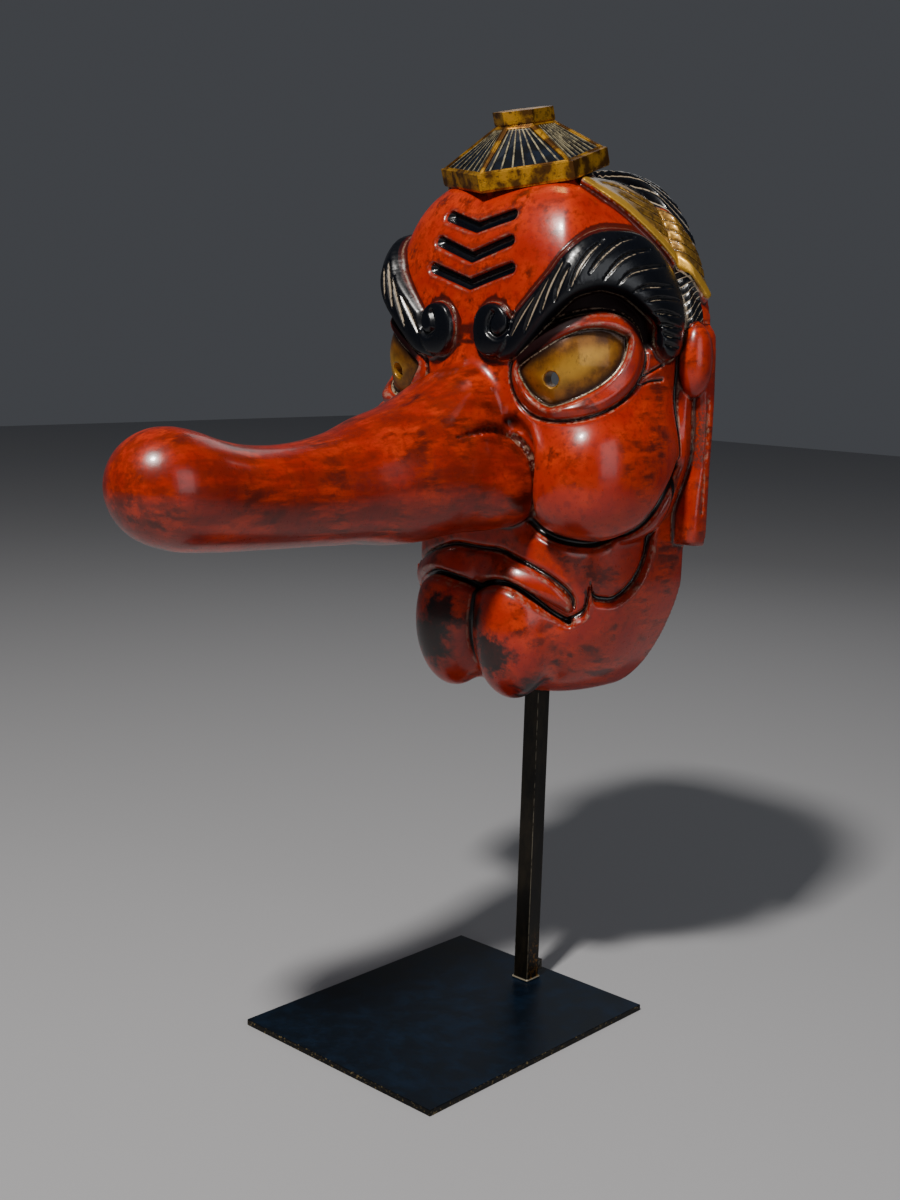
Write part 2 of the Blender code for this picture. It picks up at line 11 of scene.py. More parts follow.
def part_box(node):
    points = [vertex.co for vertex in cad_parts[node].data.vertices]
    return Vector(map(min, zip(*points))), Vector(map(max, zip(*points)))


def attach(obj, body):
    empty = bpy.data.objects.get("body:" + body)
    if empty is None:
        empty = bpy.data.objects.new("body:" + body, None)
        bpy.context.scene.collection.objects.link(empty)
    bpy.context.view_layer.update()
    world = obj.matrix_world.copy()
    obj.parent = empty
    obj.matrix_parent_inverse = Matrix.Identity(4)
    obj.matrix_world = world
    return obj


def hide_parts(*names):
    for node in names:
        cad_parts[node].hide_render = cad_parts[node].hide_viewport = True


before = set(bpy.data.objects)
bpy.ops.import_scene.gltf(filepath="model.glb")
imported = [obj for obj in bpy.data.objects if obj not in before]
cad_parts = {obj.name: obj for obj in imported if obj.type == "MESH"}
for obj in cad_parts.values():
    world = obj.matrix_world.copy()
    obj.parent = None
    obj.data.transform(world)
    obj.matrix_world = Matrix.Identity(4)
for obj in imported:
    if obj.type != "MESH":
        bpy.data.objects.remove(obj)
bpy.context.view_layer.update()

# Lengths on the mask are in millimetres, and METRES turns the finished shapes into metres.
METRES = 0.001
PLATE_LOW, PLATE_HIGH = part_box("base_plate")
POST_LOW, POST_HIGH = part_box("stand_post")

# Mask sizes, as in the solids.
MASK_LIFT = 265.0
BACK = 130.0
WALL = 17.0
SOLID_CHIN = 76.0
PUPIL_BORE = 11.5
PUPIL_CENTRE = (75, 11, 256)
PUPIL_REACH = 45.0
PUPIL_TURN = math.radians(28.0)
SOCKET_MIDDLE = 99.0
SOCKET_HALF = 7.9
SOCKET_DEPTH = 62.0

# Stand sizes: the small lug behind the post's foot, as in the solids, and the bead of weld,
# with how far it stands out round the bar.
LUG_WIDTH = 14.0
LUG_DEPTH = 5.5
LUG_HEIGHT = 9.0
LUG_RISE = 6.0
WELD_HEIGHT = 2.2
WELD_OUT = 1.2

# How finely the mask is carved, the box it is carved in, how many triangles it keeps, and how
# far forward its mesh is parted into the face and the nose.
CARVING_STEP = 1.5
CARVING_LOW = (0, -327, -6)
CARVING_HIGH = (150, 136, 445)
MASK_TRIANGLES = 250000
NOSE_SPLIT = -75.0

# Lines on the face are drawn round the head and up from the chin: the first number of each
# point is the way round from the middle line, on a wheel of this radius about the open back,
# the second is the height, and the third, where there is one, is half the width there.
ROUND_RADIUS = 140.0
CREASES = (((0, 365), (36, 374)), ((0, 343), (38, 355)), ((0, 323), (41, 335)))
CREASE_HALF = 4.2
BROW = ((38, 276, 8), (45, 280, 10), (53, 290, 12), (62, 300, 12), (74, 314, 12), (85, 326, 13),
        (96, 335, 17), (110, 342, 21), (125, 342, 23), (138, 339, 24), (152, 329, 23),
        (165, 317, 22), (171, 303, 18), (171, 287, 15))
BROW_TALL = ((30, 5), (50, 7), (88, 16), (116, 18), (145, 18), (172, 13), (189, 8))
BROW_STROKES = (
    ((47, 285), (56, 301), (65, 314)), ((59, 289), (66, 307), (75, 328)),
    ((71, 303), (76, 321), (84, 340)), ((80, 311), (83, 323), (88, 336)),
    ((89, 319), (94, 334), (101, 346), (110, 355)), ((101, 331), (109, 343), (122, 354), (135, 358)),
    ((111, 327), (120, 339), (131, 346), (148, 350)), ((121, 324), (129, 332), (142, 336), (161, 339)),
    ((132, 319), (141, 323), (153, 324), (167, 324)), ((141, 313), (153, 315), (175, 315)),
    ((148, 305), (157, 305), (175, 303)), ((155, 297), (161, 296), (177, 294)),
    ((158, 291), (162, 289), (175, 287)), ((160, 283), (164, 282), (174, 280)))
CURL_CENTRE = (28, 290)
CURL_RADII = (17, 20)
CURL_LINE = ((46, 301, 0), (44, 291, 0), (36, 285, 0), (28, 289, 0), (28, 296, 0), (31, 302, 0))
HOOD = ((56, 270, 5), (72, 288, 6), (86, 302, 8), (104, 314, 9), (122, 314, 9), (138, 302, 8),
        (150, 285, 6))
LID_CENTRE = (97, 266)
LID_RADII = (53, 36)
LID_TILT = 20
EYE_CENTRE = (91, 267)
EYE_OUTLINE = ((132, 288), (132, 279), (127, 266), (115, 254), (99, 244), (86, 238), (76, 236),
               (64, 243), (56, 253), (52, 262), (58, 268), (71, 277), (86, 287), (101, 293),
               (118, 293), (132, 288))
LIP = ((-20, 108, 13), (0, 107, 13), (30, 111, 10), (50, 108, 9), (72, 99, 8), (90, 89, 6),
       (98, 83, 4))
LIP_LINE = ((-30, 123, 0), (0, 122, 0), (28, 122, 0), (45, 118, 0), (74, 109, 0), (92, 99, 0),
            (101, 90, 0), (102, 84, 0))
MOUTH_LINE = ((-20, 94, 0), (0, 91, 0), (15, 95, 0), (35, 99, 0), (50, 97, 0), (67, 88, 0),
              (82, 79, 0), (99, 71, 0))
CHEEK_LINE = ((58, 148, 0), (70, 141, 0), (87, 135, 0), (109, 132, 0), (123, 133, 0),
              (143, 142, 0), (155, 152, 0), (168, 170, 0), (186, 192, 0))
JOWL_LINE = ((80, 62), (99, 71), (112, 77), (115.5, 87), (116.5, 99), (119, 90), (128, 87),
             (142, 88), (160, 102), (172, 122), (178, 150))
JOWL_BACK = ((176, 120), (178, 150), (184, 180), (190, 200))
FAN = ((96, 402, 2), (118, 398, 8), (147, 388, 14), (170, 376, 17), (189, 362, 17),
       (202, 345, 14), (211, 324, 6))
FAN_SPINE = ((94, 402, 0), (112, 395, 0), (135, 384, 0), (153, 371, 0), (172, 358, 0),
             (188, 344, 0), (204, 330, 0), (212, 320, 0))
TEMPLE_HAIR = ((190, 334, 3), (194, 320, 9), (197, 307, 12), (194, 296, 9))
CROWS_FEET = (((149, 260, 0), (158, 264, 0), (168, 268, 0)),
              ((145, 253, 0), (156, 256, 0), (169, 257, 0)))

# Round masses are drawn in space: across, back from the front of the face, and up, with a
# radius or three of them.
SKULL_RISE = 303.0
SKULL_HALF = 130.0
SKULL_DEEP = 132.0
SKULL_ABOVE = 114.0
SKULL_BELOW = 150.0
SKULL_TAPER = 0.27
JAW_RISE = 135.0
JAW_RADII = (117, 112, 135)
JAW_TAPER = 0.0034
JAW_TAPER_RISE = 105.0
JAW_TAPER_EASE = 25.0
HOLLOW_TRIM = 3.0
HOLLOW_BELOW = 190.0
HOLLOW_JAW_RISE = 150.0
HOLLOW_JAW_RADII = (115, 110, 147)
CHEEK_CENTRE = (86, 60, 187)
CHEEK_RADII = (50, 66, 56)
CHIN_CENTRE = (31, 31, 61)
CHIN_RADII = (34, 33, 56)
NOSE = ((0, 26, 232, 22), (0, 2, 233, 27), (0, -18, 222, 34), (0, -42, 203, 40),
        (0, -70, 185, 43), (0, -107, 180, 39), (0, -140, 176, 35), (0, -185, 174, 32),
        (0, -230, 176, 32), (0, -262, 181, 34), (0, -285, 187, 36))
WING = ((27, 12, 174, 32), (20, -10, 177, 35), (10, -42, 180, 39), (0, -85, 182, 41))
WING_LINE = ((45, -58, 214, 1), (45, -34, 217, 2), (43, -20, 218, 2.6), (41, -2, 216, 2.6),
             (43, 7, 212, 2.6), (49, 10, 206, 2.6), (55, 12, 198, 2.6), (59, 13, 188, 2.6),
             (61, 14, 178, 2.6), (60, 15, 168, 2.6), (55, 20, 157, 2.6), (46, 26, 147, 2.6))
WING_VALLEY = ((34, 4, 224, 4), (50, 2, 214, 7), (61, 4, 196, 9), (62, 8, 175, 9),
               (56, 13, 155, 8), (48, 18, 142, 7))
EAR_KNOB = (130, 112, 272)
EAR_KNOB_RADII = (12, 14, 28)
EAR_TOP = 300.0
EAR_FOOT = 131.0
EAR_PROFILE = ((130, 114, 136), (142, 113, 137), (154, 113, 137), (174, 115, 137),
               (190, 118, 137), (219, 118, 138), (242, 116, 138), (262, 113, 137), (300, 112, 136))
EAR_GROOVE = ((140, 122, 244, 3), (140, 123, 200, 3), (139, 122, 156, 3))

# Where the lacquer is rubbed dark: across, back from the front of the face, up, and radius.
RUBBED = ((34, -6, 42, 26), (14, 6, 70, 16), (-34, -4, 45, 30), (-22, 0, 70, 20), (60, 30, 10, 30),
          (0, -60, 218, 26), (20, -90, 205, 20), (30, -30, 205, 22), (-8, -280, 160, 22))

# The cap is a six-sided roof, tilted back, with a point at the front of each of its rings.
CAP_FRONT = (4.0, 402.5)
CAP_TILT = math.radians(19.0)
CAP_MIDDLE = 53.5
RIM_HALF = 66.0
RIM_FLAT = 21.5
RIM_POINT = 53.5
RIM_HEIGHT = 13.5
ROOF_INSET = 3.0
ROOF_HEIGHT = 24.0
KNOB_MIDDLE = 64.0
KNOB_HALF = 19.5
KNOB_FLAT = 13.0
KNOB_POINT = 24.0
KNOB_HEIGHT = 10.5
KNOB_LEAN = 0.12
NECK_INSET = 9.0
NECK_DEPTH = 30.0
PANEL_BORDER = 3.6
RIB_WIDTH = 0.8
PANEL_SINK = 1.2
PANEL_RIBS = 7
RIB_LIFT = 0.7
PANEL_FINISH = 1
RIB_FINISH = 2

# The camera, as the photograph's own lines place it.
CAMERA_PLACE = (0.79695, -0.87646, 0.55827)
CAMERA_TURN = math.radians(42.67)
CAMERA_DIP = math.radians(10.12)
CAMERA_ROLL = math.radians(1.71)
CAMERA_LENS = 46.34


def curve(stations, steps=4):
    """Give the stations of a smooth line through the given ones."""
    known = np.array(stations, float)
    known = np.vstack([2 * known[0] - known[1], known, 2 * known[-1] - known[-2]])
    points = []
    for a, b, c, d in zip(known[:-3], known[1:-2], known[2:-1], known[3:]):
        for t in np.arange(steps) / steps:
            bend = (2 * a - 5 * b + 4 * c - d) * t + (3 * b - a - 3 * c + d) * t * t
            points.append(b + 0.5 * t * (c - a + bend))
    points.append(known[-2])
    return np.array(points)


def ramp(distance, width):
    """Rise smoothly from 0 outside an edge to 1 inside it."""
    t = np.clip(0.5 - distance / width, 0.0, 1.0)
    return t * t * (3 - 2 * t)


def trough(distance, half):
    """Give 1 along a line, dying away to its sides."""
    return np.exp(-(distance / half) ** 2)


def join(first, second, blend):
    """Join two solids with a soft fillet."""
    near = np.maximum(blend - np.abs(first - second), 0) / blend
    return np.minimum(first, second) - near * near * blend / 4


def cut(body, tool, blend):
    """Cut a solid with a tool, leaving a soft edge."""
    return -join(-body, tool, blend)


def common(first, second, blend):
    """Keep what two solids share, with a soft edge."""
    return -join(-first, -second, blend)


def egg(x, y, z, centre, radii):
    """Give the distance to an egg's surface, less than 0 inside."""
    a = (x - centre[0]) / radii[0]
    b = (y - centre[1]) / radii[1]
    c = (z - centre[2]) / radii[2]
    reach = np.sqrt(a * a + b * b + c * c)
    slope = np.sqrt((a / radii[0]) ** 2 + (b / radii[1]) ** 2 + (c / radii[2]) ** 2)
    return reach * (reach - 1) / np.maximum(slope, 1e-9)


def squared_egg(x, y, z, radii, plan, side):
    """Give the distance to an egg about the origin, squared off in plan and in side view."""
    level = (np.abs(x / radii[0]) ** plan + np.abs(y / radii[1]) ** plan) ** (side / plan)
    level = (level + np.abs(z / radii[2]) ** side) ** (1 / side)
    return np.sqrt(x * x + y * y + z * z) * (1 - 1 / np.maximum(level, 1e-6))


def limb(x, y, z, stations, blend):
    """Give the distance to a round limb through stations of x, y, z and radius."""
    body = None
    for a, b in zip(stations[:-1], stations[1:]):
        run = b[:3] - a[:3]
        t = ((x - a[0]) * run[0] + (y - a[1]) * run[1] + (z - a[2]) * run[2]) / (run @ run)
        t = np.clip(t, 0, 1)
        off_x = x - a[0] - t * run[0]
        off_y = y - a[1] - t * run[1]
        off_z = z - a[2] - t * run[2]
        gap = np.sqrt(off_x ** 2 + off_y ** 2 + off_z ** 2) - (a[3] + (b[3] - a[3]) * t)
        body = gap if body is None else join(body, gap, blend)
    return body


def band(u, v, stations, reach=14.0):
    """Follow a band on the face: distance outside it, half width, way along, distance left."""
    gap = np.full(u.shape, reach + 60.0)
    width, along, left = np.ones(u.shape), np.zeros(u.shape), np.zeros(u.shape)
    far = reach + stations[:, 2].max()
    low = stations[:, :2].min(axis=0) - far
    high = stations[:, :2].max(axis=0) + far
    close = np.nonzero((u > low[0]) & (u < high[0]) & (v > low[1]) & (v < high[1]))[0]
    p, q = u[close], v[close]
    best = np.full(p.shape, 1e3)
    half, way, off = np.ones(p.shape), np.zeros(p.shape), np.zeros(p.shape)
    passed = 0.0
    for a, b in zip(stations[:-1], stations[1:]):
        run = b[:2] - a[:2]
        length = math.hypot(*run)
        t = np.clip(((p - a[0]) * run[0] + (q - a[1]) * run[1]) / length ** 2, 0, 1)
        side = a[2] + (b[2] - a[2]) * t
        distance = np.hypot(p - a[0] - t * run[0], q - a[1] - t * run[1])
        turn = np.sign(run[0] * (q - a[1]) - run[1] * (p - a[0]))
        nearer = distance - side < best
        half = np.where(nearer, side, half)
        way = np.where(nearer, passed + t * length, way)
        off = np.where(nearer, turn * distance, off)
        best = np.minimum(best, distance - side)
        passed += length
    gap[close], width[close], along[close], left[close] = best, half, way, off
    return gap, width, along, left


def dome(gap, half):
    """Rise like a half round from the edge of a band to its middle."""
    t = np.clip(-gap / np.maximum(half, 1e-3), 0, 1)
    return np.sqrt(t * (2 - t))


def oval(u, v, centre, radii, tilt):
    """Give the distance outside a tilted oval on the face."""
    along, across = math.cos(math.radians(tilt)), math.sin(math.radians(tilt))
    a = (u - centre[0]) * along + (v - centre[1]) * across
    b = (v - centre[1]) * along - (u - centre[0]) * across
    level = (np.abs(a / radii[0]) ** 2.2 + np.abs(b / radii[1]) ** 2.2) ** (1 / 2.2)
    return np.hypot(a, b) * (1 - 1 / np.maximum(level, 1e-6))


def patch(u, v, outline):
    """Give the distance outside a closed outline on the face, less than 0 inside it."""
    path = curve([(*place, 0) for place in outline], 3)
    gap = band(u, v, path, 40)[0]
    close = np.nonzero(gap < 50)[0]
    p, q = u[close], v[close]
    inside = np.zeros(p.shape, bool)
    for a, b in zip(path[:-1], path[1:]):
        level = (a[1] > q) != (b[1] > q)
        rate = (b[0] - a[0]) / (b[1] - a[1] if b[1] != a[1] else 1)
        inside ^= level & (p < a[0] + (q - a[1]) * rate)
    gap[close] = np.where(inside, -gap[close], gap[close])
    return gap


def brow_strokes(u, v, shift, half):
    """Give the distance outside the strokes gouged in the brow, each swelling in its middle."""
    gap = np.full(u.shape, 60.0)
    for stations in BROW_STROKES:
        path = curve(stations)
        swell = np.sin(np.linspace(0.2, math.pi - 0.2, len(path)))
        path = np.column_stack([path[:, 0] - shift * 0.5, path[:, 1] + shift, half * swell])
        gap = np.minimum(gap, band(u, v, path, 6)[0])
    return gap


def notch(phase, half):
    """Give 1 at whole numbers of a phase, dying away to their sides."""
    return trough(np.abs(phase - np.round(phase)), half)


def head(a, y, v):
    """Give the plain head: a squared skull over a squared jaw, open at the back."""
    rise = v - SKULL_RISE
    wide = SKULL_HALF - SKULL_TAPER * 0.9 * np.maximum(rise, 0)
    tall = np.where(rise > 0, SKULL_ABOVE, SKULL_BELOW)
    level = ((a / wide) ** 3.4 + (np.abs(y - BACK) / SKULL_DEEP) ** 3.4) ** (3.2 / 3.4)
    level = (level + np.abs(rise / tall) ** 3.2) ** (1 / 3.2)
    skull = np.sqrt(a * a + (y - BACK) ** 2 + rise * rise) * (1 - 1 / np.maximum(level, 1e-6))
    drop = np.maximum(JAW_TAPER_RISE - v, 0)
    narrow = 1 - JAW_TAPER * drop * drop / (drop + JAW_TAPER_EASE)
    jaw = squared_egg(a / narrow, y - BACK, v - JAW_RISE, JAW_RADII, 2.8, 4.0)
    return join(skull, jaw, 30)


def hollow(a, y, v):
    """Give the space hollowed out of the back, rounder than the head, above a solid chin."""
    rise = v - SKULL_RISE
    tall = np.where(rise > 0, SKULL_ABOVE, HOLLOW_BELOW) - WALL
    level = (a / (SKULL_HALF - HOLLOW_TRIM - WALL)) ** 2.5
    level = level + (np.abs(y - BACK) / (SKULL_DEEP - WALL)) ** 2.5
    level = (level + np.abs(rise / tall) ** 2.5) ** (1 / 2.5)
    skull = np.sqrt(a * a + (y - BACK) ** 2 + rise * rise) * (1 - 1 / np.maximum(level, 1e-6))
    radii = [radius - WALL for radius in HOLLOW_JAW_RADII]
    jaw = squared_egg(a, y - BACK, v - HOLLOW_JAW_RISE, radii, 2.5, 2.5)
    return common(join(skull, jaw, 30), SOLID_CHIN - v, 20)


def brow_relief(u, v):
    """Give how far the brow and its curl stand out, and where they cover the face."""
    gap, half = band(u, v, curve(BROW))[:2]
    tall = np.interp(u, *curve(BROW_TALL).T)
    raised = tall * (0.55 * ramp(gap, 5) + 0.45 * dome(gap, half))
    raised = raised - 2.2 * ramp(brow_strokes(u, v, 0.9, 1.5) - 0.2, 1.8)
    curl = oval(u, v, CURL_CENTRE, CURL_RADII, 0)
    raised = np.maximum(raised, 6 * ramp(curl, 3) + 3 * dome(curl, CURL_RADII[0]))
    raised = raised - 3.6 * trough(band(u, v, curve(CURL_LINE))[0], 2.0)
    cover = np.maximum(ramp(gap, 5), ramp(curl, 4))
    return raised, cover


def eye_relief(u, v):
    """Give the hood over the eye, the lid round it and the bulging ball in it."""
    lid = oval(u, v, LID_CENTRE, LID_RADII, LID_TILT)
    eye = patch(u, v, EYE_OUTLINE)
    hood = band(u, v, curve(HOOD))[0]
    raised = -7 * ramp(hood, 8) * (1 - ramp(lid, 3))
    raised = raised + 5 * ramp(lid + 4, 10) * (1 - ramp(eye, 3))
    raised = raised - 2.8 * trough(lid - 1, 1.8)
    ball = 1 - ((u - EYE_CENTRE[0]) / 44) ** 2 - ((v - EYE_CENTRE[1]) / 30) ** 2
    raised = raised + (8 * np.maximum(ball, 0) - 3) * ramp(eye, 2.5)
    raised = raised - 1.6 * trough(eye - 0.5, 1.3)
    for foot in CROWS_FEET:
        raised = raised - 1.8 * trough(band(u, v, curve(foot))[0], 1.3)
    return raised


def mouth_relief(u, v):
    """Give the upper lip between its two lines, and the crease under the cheek."""
    gap, half = band(u, v, curve(LIP))[:2]
    raised = 4.5 * dome(gap, half)
    raised = raised - 3.5 * trough(band(u, v, curve(LIP_LINE))[0], 2.2)
    raised = raised - 7 * trough(band(u, v, curve(MOUTH_LINE))[0], 3.2)
    return raised - 8 * trough(band(u, v, curve(CHEEK_LINE))[0], 4.5)


def fan_feathers(u, v):
    """Give the fan's edge, the distance above its spine, and the count of barbs passed."""
    gap = band(u, v, curve(FAN))[0]
    along, left = band(u, v, curve(FAN_SPINE), 45)[2:]
    return gap, left, (along - 3 * left) / 21


def fan_relief(u, v):
    """Give the feather fan beside the cap, highest along its spine, and the comb behind it."""
    gap, left, barb = fan_feathers(u, v)
    spine = np.maximum(np.abs(left) - 2, 0)
    feathers = 3 * ramp(gap, 3) + 4 * trough(spine, 4) * ramp(gap - 3, 4)
    return feathers - 1.3 * notch(barb, 0.12) * ramp(gap + 1, 2) * ramp(6 - left, 2)


def hair(u, v):
    """Give the edge of the black hair behind the fan and at the temple, and its comb lines."""
    gap = band(u, v, curve(FAN))[0]
    spine = np.array(FAN_SPINE, float)
    behind = np.maximum(np.interp(u, spine[:, 0], spine[:, 1]) + 4 - v, 1 - gap)
    behind = np.maximum(behind, 90 - u)
    temple = band(u, v, curve(TEMPLE_HAIR))[0]
    comb = (u + 0.9 * v) / 11
    fringe = (v - 0.85 * u - 1.25) / 6.25
    return np.minimum(behind, temple), np.where(temple < 4, fringe, comb)


def relief(u, v):
    """Give everything carved up or down on the face."""
    brow, cover = brow_relief(u, v)
    raised = brow + (1 - cover) * eye_relief(u, v)
    raised = raised + mouth_relief(u, v) + fan_relief(u, v)
    edge, comb = hair(u, v)
    raised = raised - (1 - cover) * 1.4 * notch(comb, 0.14) * ramp(edge + 2, 2)
    for crease in CREASES:
        gap = crease_gap(u, v, crease)
        raised = raised - (3.5 * ramp(gap, 2.4) + 3 * ramp(gap + 2.4, 4))
    return raised


def crease_gap(u, v, crease):
    """Give the distance outside one forehead crease."""
    return band(u, v, np.array([(*end, CREASE_HALF) for end in crease]))[0]


def muzzle_depth(u, v):
    """Give how far the muzzle lies below the jaw that runs round it, and its edge."""
    jowl = curve(JOWL_LINE)
    back = curve(JOWL_BACK)
    above = np.interp(u, jowl[:, 0], jowl[:, 1]) - v
    inside = u - np.interp(v, back[:, 1], back[:, 0])
    edge = np.maximum(above, inside)
    depth = 8 * ramp(edge - 1, 9) + 2 * trough(edge + 3, 2)
    return depth * ramp(98 - u, 36), edge


def ear(a, y, v):
    """Give the ear: a round knob, and a long flat leaf that flares at its lobe."""
    knob = egg(a, y, v, EAR_KNOB, EAR_KNOB_RADII)
    profile = np.array(EAR_PROFILE, float)
    front = np.interp(v, profile[:, 0], profile[:, 1])
    out = np.interp(v, profile[:, 0], profile[:, 2])
    leaf = common(a - out, front - y, 7)
    leaf = common(leaf, v - EAR_TOP, 16)
    leaf = common(leaf, EAR_FOOT - v - (y - 110) * 0.1, 4)
    leaf = np.maximum.reduce([leaf, out - 26 - a, y - BACK])
    groove = limb(a, y, v, np.array(EAR_GROOVE, float), 4)
    return join(knob, cut(leaf, groove, 1), 1)


def cap_place(y, v):
    """Turn a place into the cap's own frame: back from its front point, and up."""
    back = (y - CAP_FRONT[0]) * math.cos(CAP_TILT) + (v - CAP_FRONT[1]) * math.sin(CAP_TILT)
    up = (v - CAP_FRONT[1]) * math.cos(CAP_TILT) - (y - CAP_FRONT[0]) * math.sin(CAP_TILT)
    return back, up


def cap_neck(a, y, v):
    """Give the neck that carries the cap on the head."""
    back, up = cap_place(y, v)
    half = RIM_HALF - NECK_INSET
    point = RIM_POINT - NECK_INSET
    slant = RIM_POINT - RIM_FLAT
    facet = (slant * a + half * (np.abs(back - CAP_MIDDLE) - point)) / math.hypot(slant, half)
    return np.maximum.reduce([a - half, facet, up + RIM_HEIGHT / 2, -RIM_HEIGHT - NECK_DEPTH - up])


def pupil(a, y, v):
    """Give the distance outside the hole drilled through the eye."""
    side = a - PUPIL_CENTRE[0]
    back = y - PUPIL_CENTRE[1]
    across = side * math.cos(PUPIL_TURN) + back * math.sin(PUPIL_TURN)
    deep = np.abs(back * math.cos(PUPIL_TURN) - side * math.sin(PUPIL_TURN)) - PUPIL_REACH
    return np.maximum(np.hypot(across, v - PUPIL_CENTRE[2]) - PUPIL_BORE / 2, deep)


def way_round(a, y):
    return ROUND_RADIUS * np.arctan2(a, np.maximum(BACK - y, 1e-3))


def nose_form(a, y, v):
    """Give the long nose with its wings."""
    return join(limb(a, y, v, curve(NOSE, 3), 10), limb(a, y, v, curve(WING, 2), 8), 22)


def mask_form(x, y, z):
    """Give the distance to the carved mask, less than 0 in its wood."""
    a = np.abs(x)
    u = way_round(a, y)
    plain = head(a, y, z)
    body = plain + muzzle_depth(u, z)[0]
    across, deep, up = CHEEK_CENTRE
    cheek = squared_egg(a - across, y - deep, z - up, CHEEK_RADII, 2.4, 2.4)
    body = join(body, cheek, np.interp(z, [165, 200], [5, 24]))
    body = join(body, egg(a, y, z, CHIN_CENTRE, CHIN_RADII), 10)
    close = np.abs(plain) < 45
    carved = np.zeros(u.shape)
    carved[close] = relief(u[close], z[close])
    body = body - carved
    body = cut(body, limb(a, y, z, curve(WING_VALLEY, 3), 4), 8)
    body = join(body, nose_form(a, y, z), np.interp(z, [200, 235], [2.5, 14]))
    body = cut(body, limb(a, y, z, curve(WING_LINE, 2), 2), 2)
    body = join(body, ear(a, y, z), 2)
    body = join(body, cap_neck(a, y, z), 3)
    body = np.maximum(body, y - BACK)
    body = cut(body, hollow(a, y, z), 3)
    body = np.maximum(body, -pupil(a, y, z))
    socket = np.maximum.reduce([a - SOCKET_HALF, np.abs(y - SOCKET_MIDDLE) - SOCKET_HALF,
                                z - SOCKET_DEPTH])
    return np.maximum(body, -socket)


def sample(form, low, high, step, coarse=4):
    """Sample a form on a grid, finely only in the coarse cells that its surface may cross."""
    counts = [int(math.ceil((b - a) / step / coarse)) * coarse + 1 for a, b in zip(low, high)]
    axes = [a + step * np.arange(n) for a, n in zip(low, counts)]
    rough = [axis[::coarse] for axis in axes]
    grid = np.meshgrid(*rough, indexing="ij")
    value = form(*[g.ravel() for g in grid]).reshape(grid[0].shape)
    fine = np.repeat(np.repeat(np.repeat(value, coarse, 0), coarse, 1), coarse, 2)
    field = fine[:counts[0], :counts[1], :counts[2]].copy()
    near = np.abs(value) < max(step * coarse * 1.8, 12)
    busy = near[:-1, :-1, :-1]
    for i, j, k in ((0, 0, 1), (0, 1, 0), (0, 1, 1), (1, 0, 0), (1, 0, 1), (1, 1, 0), (1, 1, 1)):
        ends = [n - 1 + s for n, s in zip(near.shape, (i, j, k))]
        busy = busy | near[i:ends[0], j:ends[1], k:ends[2]]
    wanted = np.zeros(field.shape, bool)
    for i, j, k in np.argwhere(busy):
        wanted[i * coarse:(i + 1) * coarse + 1, j * coarse:(j + 1) * coarse + 1,
               k * coarse:(k + 1) * coarse + 1] = True
    at = np.nonzero(wanted)
    field[at] = form(axes[0][at[0]], axes[1][at[1]], axes[2][at[2]])
    return axes, field


def wrap(axes, field):
    """Wrap the zero level of a sampled form in quads, with a corner in each cell it crosses."""
    strides = np.array([field.shape[1] * field.shape[2], field.shape[2], 1])
    rings, owners, places = [], [], []
    for d in range(3):
        a, b = (d + 1) % 3, (d + 2) % 3
        inside = np.moveaxis(field, d, 0) < 0
        starts = np.argwhere(inside[1:] != inside[:-1])
        starts = np.insert(starts[:, 1:], d, starts[:, 0], axis=1)
        ends = starts + np.eye(3, dtype=int)[d]
        first, second = field[tuple(starts.T)], field[tuple(ends.T)]
        place = starts + (first / (first - second))[:, None] * np.eye(3)[d]
        ring = []
        for i, j in ((0, 0), (1, 0), (1, 1), (0, 1)):
            cell = starts.copy()
            cell[:, a] -= i
            cell[:, b] -= j
            ring.append(cell @ strides)
            owners.append(ring[-1])
            places.append(place)
        ring = np.stack(ring, 1)
        rings.append(np.where((first < 0)[:, None], ring, ring[:, ::-1]))
    keys, owner = np.unique(np.concatenate(owners), return_inverse=True)
    share = np.bincount(owner)
    corners = [np.bincount(owner, weights=row) / share for row in np.concatenate(places).T]
    step = axes[0][1] - axes[0][0]
    points = np.stack(corners, 1) * step + [axis[0] for axis in axes]
    return points, np.searchsorted(keys, np.concatenate(rings))


def add_object(name, mesh):
    made = bpy.data.objects.new(name, mesh)
    bpy.context.scene.collection.objects.link(made)
    return made


def choose(target):
    """Make an object the only chosen one, as Blender's operators want."""
    for other in bpy.context.selected_objects:
        other.select_set(False)
    target.select_set(True)
    bpy.context.view_layer.objects.active = target


def carve_mask():
    """Carve the mask, thin its mesh, and write on it what the paint follows."""
    axes, field = sample(mask_form, CARVING_LOW, CARVING_HIGH, CARVING_STEP)
    axes[0] = np.concatenate([-axes[0][:0:-1], axes[0]])
    field = np.concatenate([field[:0:-1], field])
    points, faces = wrap(axes, field)
    mesh = bpy.data.meshes.new("mask_carving")
    mesh.from_pydata(((points + (0, 0, MASK_LIFT)) * METRES).tolist(), [], faces.tolist())
    carving = add_object("mask_carving", mesh)
    choose(carving)
    thin = carving.modifiers.new("thin", "DECIMATE")
    thin.ratio = MASK_TRIANGLES / (2 * len(faces))
    thin.use_collapse_triangulate = True
    bpy.ops.object.modifier_apply(modifier=thin.name)
    return split_mask(carving)


